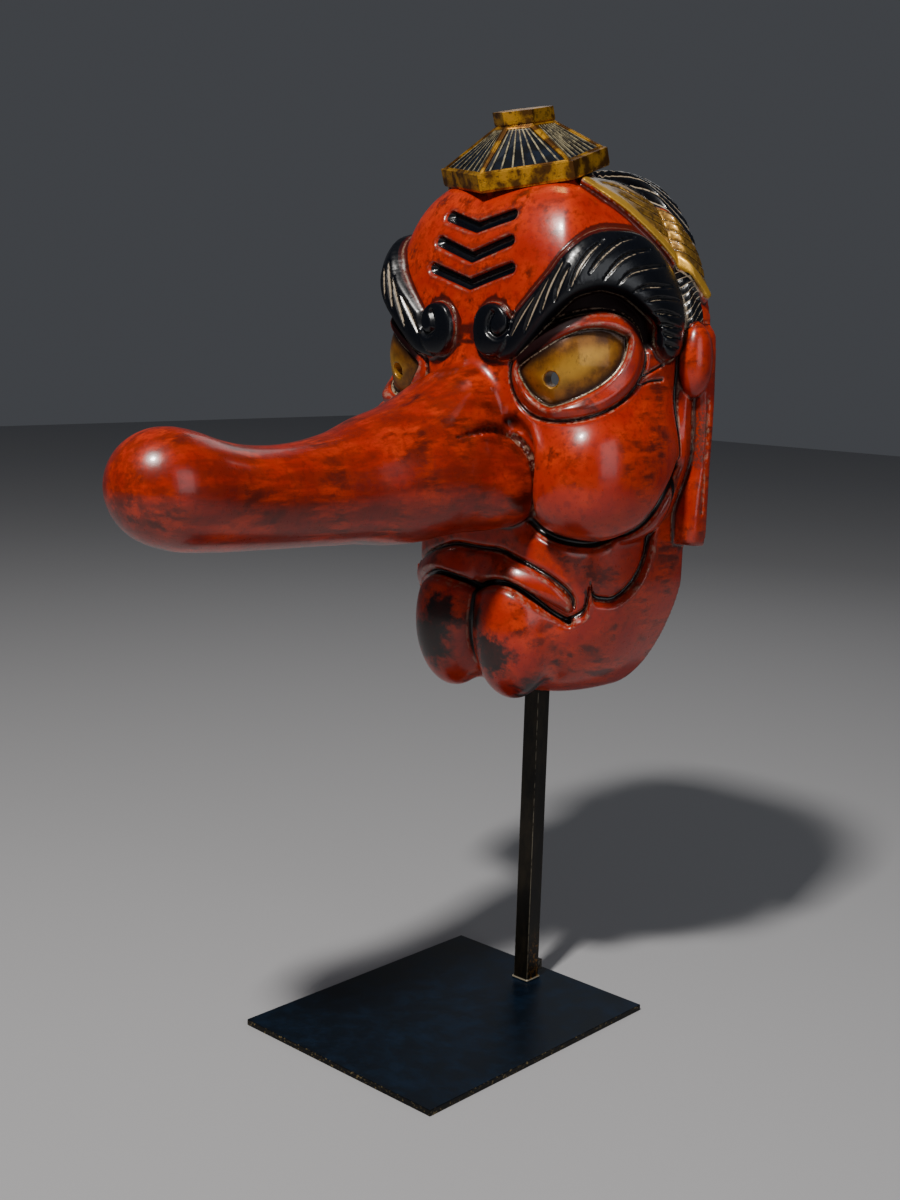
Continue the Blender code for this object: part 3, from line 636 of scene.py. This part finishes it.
def split_mask(carving):
    """Part the carved mesh into its face, its nose and its hollow, with their paint guides."""
    x, y, z = corners_of(carving.data)
    faces = np.zeros(len(carving.data.loops), int)
    carving.data.loops.foreach_get("vertex_index", faces)
    faces = faces.reshape(-1, 3)
    normal = slopes(x, y, z, 0.9)[0]
    is_hollow = (hollow(np.abs(x), y, z) < 1.5) | (y > BACK - 0.7)
    region = np.where(is_hollow, 2, np.where(y < NOSE_SPLIT, 1, 0))
    region = region[faces].min(axis=1)
    points = np.stack([x, y, z + MASK_LIFT], 1) * METRES
    pieces = []
    for number, name in enumerate(("mask_face", "mask_nose", "mask_hollow")):
        kept, corners = np.unique(faces[region == number], return_inverse=True)
        mesh = bpy.data.meshes.new(name)
        mesh.from_pydata(points[kept].tolist(), [], corners.reshape(-1, 3).tolist())
        mesh.polygons.foreach_set("use_smooth", [True] * len(mesh.polygons))
        mesh.normals_split_custom_set_from_vertices(normal[kept].tolist())
        write_paint_guides(mesh, x[kept], y[kept], z[kept])
        pieces.append(add_object(name, mesh))
    bpy.data.objects.remove(carving)
    return pieces


def corners_of(mesh):
    """Give the places of a mesh's corners on the mask, in millimetres."""
    places = np.zeros(len(mesh.vertices) * 3)
    mesh.vertices.foreach_get("co", places)
    return (places.reshape(-1, 3) / METRES - (0, 0, MASK_LIFT)).T


def slopes(x, y, z, reach):
    """Give the mask's outward direction at some places, and how sharply it bends there."""
    slope, total = [], -6 * mask_form(x, y, z)
    for step in np.eye(3) * reach:
        ahead = mask_form(x + step[0], y + step[1], z + step[2])
        behind = mask_form(x - step[0], y - step[1], z - step[2])
        slope.append(ahead - behind)
        total = total + ahead + behind
    slope = np.stack(slope, 1)
    return slope / np.maximum(np.linalg.norm(slope, axis=1), 1e-9)[:, None], total / reach ** 2


def blobs(x, y, z, places):
    """Give how deep in any of some soft round patches of x, y, z and radius each place is."""
    level = np.zeros(x.shape)
    for a, b, c, radius in places:
        level = np.maximum(level, np.exp(-((x - a) ** 2 + (y - b) ** 2 + (z - c) ** 2) / radius ** 2))
    return level


def cut_lines_and_shade(a, y, v, u, far):
    """Give the distance outside the dark cut lines of the face and the painted shadow lines under the
    cheek and round the ear, less than 0 inside them.
    """
    lid = oval(u, v, LID_CENTRE, LID_RADII, LID_TILT)
    lines = [np.abs(lid - 1) - 0.6]
    # The line under the cheek is painted wide as the shadow beneath the cheek's overhang; the others
    # are dark cut lines.
    for stations, half in ((LIP_LINE, 0.9), (MOUTH_LINE, 1.8), (CHEEK_LINE, 3.2),
                           *((foot, 0.7) for foot in CROWS_FEET)):
        lines.append(band(u, v, curve(stations))[0] - half)
    jowl = muzzle_depth(u, v)[1]
    lines.append(np.where(u > 98, np.abs(jowl + 3) - 1.3, 30))
    lines.append(np.where(v < 97, a - 2.2, 30) + np.where(y > 50, 30, 0))
    lines = [mark + far for mark in lines]
    lines.append(limb(a, y, v, curve(WING_LINE, 2), 2) + np.where(y < 2, 2.0, 1.3))
    lines.append(limb(a, y, v, np.array(EAR_GROOVE, float), 4) + 1.2)
    # Painted shadow: a dark line on the face round the ear's outline.
    own = ear(a, y, v)
    lines.append(np.where(own > 0.4, own - 0.9, 30))
    return np.minimum.reduce(lines)


def write_paint_guides(mesh, x, y, z):
    """Write on each corner of the mesh the distances that the paint follows, in millimetres."""
    a = np.abs(x)
    u = way_round(a, y)
    ear_gap = ear(a, y, z)
    off_ear = np.where(ear_gap < 1.0, 40.0, 0.0)
    far = np.where(nose_form(a, y, z) < 3, 40.0, 0.0) + off_ear
    brow = band(u, z, curve(BROW))[0]
    temple = ramp(174 - u, 8) * ramp(np.abs(z - 303) - 33, 6)
    bevel = ramp(np.abs(z - 217) - 26, 10) * ramp(np.abs(y - 119) - 2.5, 2)
    curl = oval(u, z, CURL_CENTRE, CURL_RADII, 0)
    fan, spine, barb = fan_feathers(u, z)
    comb_edge, comb = hair(u, z)
    guides = {
        "broad_bend": np.clip(slopes(x, y, z, 4.0)[1], -1, 1),
        "groove": cut_lines_and_shade(a, y, z, u, far),
        "nose": ramp(nose_form(a, y, z) - 3, 6),
        "brow": np.minimum(brow, curl) + far,
        "stroke": brow_strokes(u, z, 0, 0.6) + np.interp(u, [95, 125], [0, 0.3]) + far,
        "temple": temple,
        "bevel": np.where(ear_gap < 1.0, bevel, 0.0),
        "hood": band(u, z, curve(HOOD))[0] + far,
        "eye": patch(u, z, EYE_OUTLINE) + far,
        "crease": np.minimum.reduce([crease_gap(u, z, crease) for crease in CREASES]) + far,
        "fan": fan + off_ear,
        "spine": spine,
        "barb": barb,
        "hair": comb_edge + off_ear,
        "comb": comb,
        "hollow": np.minimum(hollow(a, y, z), BACK - y),
        "rubbed": blobs(x, y, z, RUBBED),
    }
    for name, values in guides.items():
        attribute = mesh.attributes.new(name, "FLOAT", "POINT")
        attribute.data.foreach_set("value", np.asarray(values, np.float32))


def cap_ring(base, middle, half, flat, point, lean=0.0):
    """Give the six corners of one ring of the cap, higher at its front where it leans."""
    corners = []
    for x, back in ((0, -point), (half, -flat), (half, flat), (0, point), (-half, flat),
                    (-half, -flat)):
        up = base - lean * back
        y = CAP_FRONT[0] + (middle + back) * math.cos(CAP_TILT) - up * math.sin(CAP_TILT)
        v = CAP_FRONT[1] + (middle + back) * math.sin(CAP_TILT) + up * math.cos(CAP_TILT)
        corners.append(Vector((x, y, MASK_LIFT + v)) * METRES)
    return corners


def loft(shape, rings):
    """Join rings of corners with faces and close both ends. Give the sides, ring by ring."""
    loops = [[shape.verts.new(corner) for corner in ring] for ring in rings]
    sides = []
    for lower, upper in zip(loops[:-1], loops[1:]):
        sides.append([shape.faces.new((lower[i], lower[i - 5], upper[i - 5], upper[i]))
                      for i in range(6)])
    shape.faces.new(loops[0][::-1])
    shape.faces.new(loops[-1])
    return sides


def rib(shape, foot, top, normal, width, height):
    """Add one thin rib from its foot to its top."""
    side = (top - foot).cross(normal).normalized() * width / 2
    lift = normal * height
    base = [foot - side, foot + side, top + side * 0.6, top - side * 0.6]
    low = [shape.verts.new(p - lift) for p in base]
    high = [shape.verts.new(p + lift) for p in base]
    faces = [shape.faces.new(high), shape.faces.new(low[::-1])]
    for i in range(4):
        faces.append(shape.faces.new((low[i - 3], low[i], high[i], high[i - 3])))
    for face in faces:
        face.material_index = RIB_FINISH


def build_cap():
    """Build the cap's rim, its sunk roof panels with their ribs, and its knob."""
    inner = ROOF_INSET * RIM_POINT / RIM_HALF
    rings = [
        cap_ring(-RIM_HEIGHT, CAP_MIDDLE, RIM_HALF - 1, RIM_FLAT, RIM_POINT - 1),
        cap_ring(-RIM_HEIGHT + 2, CAP_MIDDLE, RIM_HALF, RIM_FLAT, RIM_POINT),
        cap_ring(0, CAP_MIDDLE, RIM_HALF, RIM_FLAT, RIM_POINT),
        cap_ring(0.5, CAP_MIDDLE, RIM_HALF - ROOF_INSET, RIM_FLAT, RIM_POINT - inner),
        cap_ring(ROOF_HEIGHT, KNOB_MIDDLE, KNOB_HALF - 1, KNOB_FLAT, KNOB_POINT - 1, KNOB_LEAN),
        cap_ring(ROOF_HEIGHT + 1, KNOB_MIDDLE, KNOB_HALF, KNOB_FLAT, KNOB_POINT, KNOB_LEAN),
        cap_ring(ROOF_HEIGHT + KNOB_HEIGHT, KNOB_MIDDLE, KNOB_HALF, KNOB_FLAT, KNOB_POINT,
                 KNOB_LEAN),
    ]
    shape = bmesh.new()
    roof = loft(shape, rings)[3]
    shape.normal_update()
    bmesh.ops.inset_individual(shape, faces=roof, thickness=PANEL_BORDER * METRES, depth=0)
    bmesh.ops.inset_individual(shape, faces=roof, thickness=0.5 * METRES,
                               depth=-PANEL_SINK * METRES)
    shape.normal_update()
    for panel in roof:
        panel.material_index = PANEL_FINISH
        low_left, low_right, high_right, high_left = [corner.co.copy() for corner in panel.verts]
        for place in (np.arange(PANEL_RIBS) + 0.5) / PANEL_RIBS:
            rib(shape, low_left.lerp(low_right, place), high_left.lerp(high_right, place),
                panel.normal, RIB_WIDTH * METRES, RIB_LIFT * METRES)
    mesh = bpy.data.meshes.new("mask_cap")
    shape.to_mesh(mesh)
    shape.free()
    cap = add_object("mask_cap", mesh)
    soften = cap.modifiers.new("soften", "BEVEL")
    soften.width = 0.7 * METRES
    soften.segments = 2
    soften.limit_method = "ANGLE"
    soften.angle_limit = math.radians(12)
    choose(cap)
    bpy.ops.object.modifier_apply(modifier=soften.name)
    return cap


def build_block(name, low, high, edge, segments=3):
    """Build a box between two corners with its edges rounded off."""
    middle = (low + high) / 2
    bpy.ops.mesh.primitive_cube_add(size=1.0, location=middle)
    block = bpy.context.object
    block.name = block.data.name = name
    block.scale = high - low
    bpy.ops.object.transform_apply(location=True, rotation=True, scale=True)
    soften = block.modifiers.new("soften", "BEVEL")
    soften.width = edge
    soften.segments = segments
    bpy.ops.object.modifier_apply(modifier=soften.name)
    return block


def build_post():
    """Build the square bar, the bead of weld round its foot and the small lug behind it."""
    back = POST_HIGH.y - LUG_DEPTH * METRES
    bar = build_block("post", POST_LOW, Vector((POST_HIGH.x, back, POST_HIGH.z)), 0.0008)
    foot = POST_LOW.z
    wide = Vector((WELD_OUT, WELD_OUT, 0)) * METRES
    bead = build_block("weld", POST_LOW - wide,
                       Vector((POST_HIGH.x, back, foot + WELD_HEIGHT * METRES)) + wide, 0.0011, 4)
    half = LUG_WIDTH / 2 * METRES
    low = foot + LUG_RISE * METRES
    lug = build_block("lug", Vector((-half, back - 0.003, low)),
                      Vector((half, POST_HIGH.y, low + LUG_HEIGHT * METRES)), 0.0008)
    return bar, bead, lug


def colour(code):
    """Turn an sRGB hex colour into the linear numbers that the nodes take."""
    parts = [int(code[i:i + 2], 16) / 255 for i in (1, 3, 5)]
    parts = [c / 12.92 if c <= 0.04045 else ((c + 0.055) / 1.055) ** 2.4 for c in parts]
    return (*parts, 1.0)


def node(tree, kind, inputs=None, **settings):
    """Add a node, set it, feed its inputs with links or values, and give its first output."""
    made = tree.nodes.new("ShaderNode" + kind)
    for name, value in settings.items():
        setattr(made, name, value)
    for name, value in (inputs or {}).items():
        if isinstance(value, bpy.types.NodeSocket):
            tree.links.new(value, made.inputs[name])
        else:
            made.inputs[name].default_value = value
    return made.outputs[0]


def guide(tree, name):
    """Read one of the distances written on the mesh."""
    made = tree.nodes.new("ShaderNodeAttribute")
    made.attribute_name = name
    return made.outputs["Fac"]


def rise(tree, value, low, high):
    """Turn a value into a share that goes smoothly from 0 at low to 1 at high."""
    made = {"Value": value, "From Min": low, "From Max": high}
    return node(tree, "MapRange", made, interpolation_type="SMOOTHSTEP")


def distance(tree, value, place):
    """Give how far a value is from a place, either way."""
    off = node(tree, "Math", {0: value, 1: place}, operation="SUBTRACT")
    return node(tree, "Math", {0: off}, operation="ABSOLUTE")


def line(tree, value, place, half):
    """Give 1 where a value is close to a place, and 0 half this far away from it."""
    off = distance(tree, value, place)
    return node(tree, "Math", {0: 1.0, 1: rise(tree, off, half * 0.35, half)}, operation="SUBTRACT")


def whole(tree, value, half):
    """Give 1 where a value is close to a whole number."""
    off = distance(tree, value, node(tree, "Math", {0: value}, operation="ROUND"))
    return node(tree, "Math", {0: 1.0, 1: rise(tree, off, half * 0.3, half)}, operation="SUBTRACT")


def noise(tree, size, detail=4.0, rough=0.55, stretch=(1, 1, 1)):
    """Give a noise whose lumps are this many millimetres across."""
    place = tree.nodes.new("ShaderNodeTexCoord").outputs["Object"]
    place = node(tree, "VectorMath", {0: place, 1: stretch}, operation="MULTIPLY")
    return node(tree, "TexNoise", {"Vector": place, "Scale": 1 / (size * METRES),
                                   "Detail": detail, "Roughness": rough})


def mix(tree, share, first, second):
    """Lay a second colour over a first one."""
    made = tree.nodes.new("ShaderNodeMix")
    made.data_type = "RGBA"
    for place, value in ((0, share), (6, first), (7, second)):
        if isinstance(value, bpy.types.NodeSocket):
            tree.links.new(value, made.inputs[place])
        else:
            made.inputs[place].default_value = colour(value) if place else value
    return made.outputs[2]


def blend(tree, share, first, second):
    """Go from a first number to a second one."""
    return node(tree, "MapRange", {"Value": share, "To Min": first, "To Max": second})


def both(tree, *shares):
    """Multiply shares."""
    total = shares[0]
    for share in shares[1:]:
        total = node(tree, "Math", {0: total, 1: share}, operation="MULTIPLY")
    return total


def most(tree, *shares):
    """Keep the largest of some shares."""
    largest = shares[0]
    for share in shares[1:]:
        largest = node(tree, "Math", {0: largest, 1: share}, operation="MAXIMUM")
    return largest


def new_material(name):
    made = bpy.data.materials.new(name)
    made.use_nodes = True
    tree = made.node_tree
    shader = tree.nodes["Principled BSDF"]
    return made, tree, shader


def feed(tree, shader, **values):
    """Set or link the shader's own inputs."""
    for name, value in values.items():
        socket = shader.inputs[name.replace("_", " ")]
        if isinstance(value, bpy.types.NodeSocket):
            tree.links.new(value, socket)
        else:
            socket.default_value = value


def red_lacquer(tree, scuff):
    """Red lacquer, rubbed dark in patches, black in its cut lines and worn pale on its edges, with
    painted shade in its hollows, under the brow, along the crease under the cheek and round the ear.
    """
    lumps = noise(tree, 30, 5)
    grain = noise(tree, 5, 6, 0.7)
    streaks = noise(tree, 9, 5, 0.65, (1, 0.2, 1))
    broad = guide(tree, "broad_bend")
    nose = guide(tree, "nose")
    red = mix(tree, rise(tree, lumps, 0.35, 0.65), "#9C1B03", "#BC3005")
    red = mix(tree, both(tree, rise(tree, grain, 0.5, 0.62), 0.45), red, "#6A0F04")
    smoke = both(tree, rise(tree, lumps, 0.45, 0.62), rise(tree, streaks, 0.42, 0.62), 0.8)
    red = mix(tree, smoke, red, "#2E0804")
    brown = both(tree, nose, rise(tree, streaks, 0.3, 0.6), 0.6)
    red = mix(tree, brown, red, "#571204")
    ragged = node(tree, "Math", {0: streaks, 1: 0.5}, operation="SUBTRACT")
    rub = node(tree, "Math", {0: ragged, 1: 1.3, 2: guide(tree, "rubbed")},
               operation="MULTIPLY_ADD")
    red = mix(tree, both(tree, rise(tree, rub, 0.4, 0.8), 0.95), red, "#0A0404")
    # Painted shade: the red goes near black in the hollows and creases, wherever the surface bends
    # inward.
    dark = rise(tree, broad, -0.04, -0.26)
    red = mix(tree, both(tree, dark, 0.85), red, "#1C0503")
    worn = both(tree, rise(tree, broad, 0.08, 0.24), blend(tree, scuff, 0.2, 1.0), 0.6)
    red = mix(tree, worn, red, "#4E211E")
    worn = both(tree, rise(tree, broad, 0.25, 0.5), rise(tree, grain, 0.45, 0.62), 0.4)
    red = mix(tree, worn, red, "#B99C86")
    # Painted shadow under the brow: the hood between brow and lid goes near-black, its dark maroon
    # paint deepened to stand for the brow's shade.
    red = mix(tree, rise(tree, guide(tree, "hood"), 3, -1), red, "#160304")
    strip = both(tree, guide(tree, "bevel"), rise(tree, scuff, 0.38, 0.55), 0.75)
    red = mix(tree, strip, red, "#40302A")
    groove = guide(tree, "groove")
    pale = both(tree, line(tree, groove, 1.0, 0.8), rise(tree, grain, 0.45, 0.6), 0.35)
    red = mix(tree, pale, red, "#C9A78C")
    # Black in the cut lines, which also carry painted shadow along the crease under the cheek and
    # round the ear.
    return mix(tree, rise(tree, groove, 0.4, -0.3), red, "#080202")


def gold_on_carving(tree, fan, eye):
    """Gold rubbed to brown on the fan, brightest on its spine, and bronze on the eyeballs, with a
    painted highlight in their middle and painted shade round their rims.
    """
    patches = noise(tree, 14, 6, 0.65)
    grain = noise(tree, 4, 6, 0.7, (1, 1, 0.5))
    spine = guide(tree, "spine")
    bright = both(tree, rise(tree, spine, 6, 2), rise(tree, spine, -5, -2))
    bright = both(tree, bright, blend(tree, grain, 0.5, 1.2))
    feather = mix(tree, rise(tree, grain, 0.35, 0.65), "#5C4014", "#9C7426")
    feather = mix(tree, bright, feather, "#D2A034")
    ball = mix(tree, rise(tree, patches, 0.3, 0.65), "#5A330A", "#9A621A")
    # Painted highlight: the eyeball's middle is laid bright gold.
    middle = rise(tree, guide(tree, "eye"), -8, -20)
    ball = mix(tree, both(tree, middle, blend(tree, patches, 0.4, 1.2)), ball, "#D09A34")
    ball = mix(tree, both(tree, rise(tree, grain, 0.55, 0.7), 0.5), ball, "#3C220A")
    # Painted shade: the eyeball goes dark brown towards its rim, under the lid.
    ball = mix(tree, rise(tree, guide(tree, "eye"), -8, -1), ball, "#2A1408")
    return mix(tree, eye, feather, ball)


def mask_material():
    """One finish for the whole carving, painted along the distances written on its mesh."""
    made, tree, shader = new_material("lacquer_and_gold_on_carved_wood")
    scuff = noise(tree, 2.5, 5, 0.7)
    inside = rise(tree, guide(tree, "hollow"), 1.2, 0.4)
    outside = node(tree, "Math", {0: 1.0, 1: inside}, operation="SUBTRACT")
    base = red_lacquer(tree, scuff)
    fan = rise(tree, guide(tree, "fan"), 0.3, -0.3)
    eye = rise(tree, guide(tree, "eye"), 0.3, -0.4)
    golden = both(tree, most(tree, fan, eye), outside)
    base = mix(tree, golden, base, gold_on_carving(tree, fan, eye))

    brow = rise(tree, guide(tree, "brow"), 0.4, -0.4)
    hair_share = rise(tree, guide(tree, "hair"), 0.3, -0.3)
    crease = rise(tree, guide(tree, "crease"), 0.2, -0.6)
    black = most(tree, brow, hair_share, crease)
    base = mix(tree, black, base, "#01030A")
    barb = both(tree, whole(tree, guide(tree, "barb"), 0.08), fan,
                rise(tree, guide(tree, "spine"), 3, 5))
    base = mix(tree, both(tree, barb, 0.85), base, "#140B06")
    comb = both(tree, whole(tree, guide(tree, "comb"), 0.09), hair_share)
    stroke = rise(tree, guide(tree, "stroke"), 0.25, -0.2)
    temple = both(tree, line(tree, guide(tree, "brow"), 0.9, 2.4), guide(tree, "temple"))
    under = both(tree, line(tree, guide(tree, "fan"), 0.5, 0.6),
                 rise(tree, guide(tree, "spine"), 0, -3))
    rims = most(tree, line(tree, guide(tree, "eye"), -0.2, 0.6),
                both(tree, line(tree, guide(tree, "brow"), 0.7, 0.5), 0.35), under)
    drawn = both(tree, most(tree, comb, stroke, temple), rise(tree, scuff, 0.25, 0.5))
    pale = most(tree, drawn, both(tree, rims, rise(tree, scuff, 0.4, 0.55)))
    base = mix(tree, both(tree, pale, 0.8), base, "#B3A28A")

    wood = mix(tree, noise(tree, 8, 6, 0.6, (1, 1, 0.15)), "#170D08", "#2C1A10")
    base = mix(tree, inside, base, wood)
    rough = blend(tree, scuff, 0.2, 0.4)
    rough = node(tree, "Math", {0: rough, 1: both(tree, golden, 0.14)}, operation="ADD")
    rough = node(tree, "Math", {0: rough, 1: both(tree, inside, 0.4)}, operation="ADD")
    matt = both(tree, rise(tree, guide(tree, "hood"), 3, -1), outside)
    rough = node(tree, "Math", {0: rough, 1: both(tree, matt, 0.3)}, operation="ADD")
    coat = both(tree, outside, blend(tree, matt, 0.3, 0.0))
    coat = both(tree, coat, blend(tree, brow, 1.0, 0.4))
    bump = node(tree, "Bump", {"Strength": 0.2, "Distance": 0.3 * METRES,
                               "Height": noise(tree, 3.5, 4, 0.6)})
    feed(tree, shader, Base_Color=base, Roughness=rough, Metallic=both(tree, golden, 0.6),
         Specular_IOR_Level=blend(tree, matt, 0.5, 0.12),
         Normal=bump, Coat_Weight=coat, Coat_Roughness=0.1)
    return made


def gold_material():
    """Gold leaf rubbed down to brown in patches, on the cap's frame and knob."""
    made, tree, shader = new_material("rubbed_gold_leaf")
    rub = noise(tree, 12, 6, 0.65)
    gold = mix(tree, rise(tree, rub, 0.42, 0.58), "#5A380E", "#CC9426")
    gold = mix(tree, both(tree, rise(tree, noise(tree, 3, 5, 0.7), 0.5, 0.68), 0.8), gold, "#2A180A")
    feed(tree, shader, Base_Color=gold, Metallic=0.7, Roughness=blend(tree, rub, 0.45, 0.28))
    return made


def rib_material():
    """The thin pale edges of the cap's ribs, where the lacquer is rubbed through."""
    made, tree, shader = new_material("rubbed_rib_edges")
    pale = mix(tree, rise(tree, noise(tree, 6, 5, 0.7), 0.4, 0.6), "#4A4438", "#8F8568")
    feed(tree, shader, Base_Color=pale, Roughness=0.35)
    return made


def panel_material():
    """Blue-black lacquer in the cap's sunk panels."""
    made, tree, shader = new_material("blue_black_lacquer")
    dark = mix(tree, rise(tree, noise(tree, 10, 4), 0.4, 0.65), "#05070C", "#0E1726")
    feed(tree, shader, Base_Color=dark, Roughness=0.25, Coat_Weight=0.5)
    return made


def bar_material():
    """Blackened steel bar: brown-black, pale on its worn corners and its weld, rusty low down."""
    made, tree, shader = new_material("blackened_steel_bar")
    scale = noise(tree, 14, 7, 0.7, (1, 1, 0.4))
    place = tree.nodes.new("ShaderNodeTexCoord").outputs["Object"]
    apart = tree.nodes.new("ShaderNodeSeparateXYZ")
    tree.links.new(place, apart.inputs[0])
    height = apart.outputs["Z"]
    base = mix(tree, rise(tree, scale, 0.4, 0.7), "#100E0B", "#2A241A")
    half = POST_HIGH.x
    right = rise(tree, apart.outputs["X"], half * 0.95, half * 0.99)
    spots = both(tree, rise(tree, noise(tree, 3, 5, 0.7), 0.5, 0.62), rise(tree, height, 0.055, 0.012))
    base = mix(tree, both(tree, spots, right, 0.9), base, "#8A5E20")
    corner = both(tree, *(rise(tree, distance(tree, apart.outputs[axis], middle), half * 0.9, half)
                          for axis, middle in (("X", 0.0), ("Y", POST_LOW.y + half))))
    worn = both(tree, corner, rise(tree, noise(tree, 6, 4), 0.35, 0.55), 0.8)
    base = mix(tree, worn, base, "#A39A86")
    base = mix(tree, rise(tree, height, 0.0074, 0.0066), base, "#D8CBB0")
    feed(tree, shader, Base_Color=base, Metallic=0.6, Roughness=blend(tree, scale, 0.32, 0.5))
    return made


def plate_material():
    """Blued steel plate, satin and nearly black, with bare flecks along its cut edges."""
    made, tree, shader = new_material("blued_steel_plate")
    scale = noise(tree, 18, 7, 0.7)
    base = mix(tree, rise(tree, scale, 0.4, 0.7), "#040D18", "#08192B")
    apart = tree.nodes.new("ShaderNodeSeparateXYZ")
    tree.links.new(tree.nodes.new("ShaderNodeTexCoord").outputs["Object"], apart.inputs[0])
    middle = (PLATE_LOW + PLATE_HIGH) / 2
    half = (PLATE_HIGH - PLATE_LOW) / 2
    near_edge = []
    for axis, centre, reach in (("X", middle.x, half.x), ("Y", middle.y, half.y)):
        off = distance(tree, apart.outputs[axis], centre)
        near_edge.append(rise(tree, off, reach - 0.4 * METRES, reach - 0.1 * METRES))
    edge = most(tree, *near_edge)
    base = mix(tree, edge, base, "#070605")
    flecks = both(tree, rise(tree, noise(tree, 2.5, 5, 0.7), 0.56, 0.66), edge, 0.8)
    base = mix(tree, flecks, base, "#8C7A50")
    feed(tree, shader, Base_Color=base, Metallic=0.1, Roughness=blend(tree, scale, 0.34, 0.5),
         Specular_IOR_Level=0.18)
    return made


def add_camera():
    camera = bpy.data.objects.new("camera", bpy.data.cameras.new("camera"))
    bpy.context.scene.collection.objects.link(camera)
    camera.data.lens = CAMERA_LENS
    camera.data.sensor_width = 36.0
    camera.location = CAMERA_PLACE
    turn = Matrix.Rotation(CAMERA_TURN, 3, "Z") @ Matrix.Rotation(math.pi / 2 - CAMERA_DIP, 3, "X")
    camera.rotation_euler = (turn @ Matrix.Rotation(CAMERA_ROLL, 3, "Z")).to_euler()
    bpy.context.scene.camera = camera


def add_light(name, place, aim, size, power, tint):
    light = bpy.data.lights.new(name, "AREA")
    light.shape = "RECTANGLE"
    light.size, light.size_y = size
    light.energy = power
    light.color = tint
    lamp = bpy.data.objects.new(name, light)
    bpy.context.scene.collection.objects.link(lamp)
    lamp.location = place
    lamp.rotation_euler = (Vector(aim) - Vector(place)).to_track_quat("-Z", "Y").to_euler()


def add_studio():
    """Set up the pale floor, the softboxes and the pale surroundings."""
    bpy.ops.mesh.primitive_plane_add(size=12.0, location=(0, 0, 0))
    floor = bpy.context.object
    floor.name = "floor"
    made, tree, shader = new_material("pale_floor")
    feed(tree, shader, Base_Color=colour("#A9A9AC"), Roughness=0.7)
    floor.data.materials.append(made)
    world = bpy.data.worlds.new("surroundings")
    world.use_nodes = True
    world.node_tree.nodes["Background"].inputs["Color"].default_value = colour("#9EA2AA")
    world.node_tree.nodes["Background"].inputs["Strength"].default_value = 0.17
    bpy.context.scene.world = world
    add_light("key", (0.42, -1.35, 2.3), (0, 0, 0.5), (0.22, 0.22), 74, (1.0, 0.97, 0.92))
    add_light("side", (1.6, -0.2, 0.9), (0, 0, 0.45), (0.8, 1.2), 5, (0.93, 0.96, 1.0))
    add_light("back", (-0.9, 1.7, 1.5), (0, 0, 0.5), (1.0, 1.0), 2.5, (1.0, 1.0, 1.0))


def dress(piece, cad_node, slot_name, *materials):
    """Fix a piece to the part's only body, in place of its solid, with its finish."""
    for one in materials:
        piece.data.materials.append(one)
    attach(piece, "root")
    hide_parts(cad_node)


LACQUER = mask_material()
for carved in carve_mask():
    dress(carved, "mask", "lacquered_wood", LACQUER)
dress(build_cap(), "mask", "lacquered_wood", gold_material(), panel_material(),
      rib_material())
BAR_STEEL = bar_material()
for stand_piece in build_post():
    dress(stand_piece, "stand_post", "post_steel", BAR_STEEL)
dress(build_block("plate", PLATE_LOW, PLATE_HIGH, 0.0006), "base_plate", "plate_steel",
      plate_material())
add_studio()
add_camera()
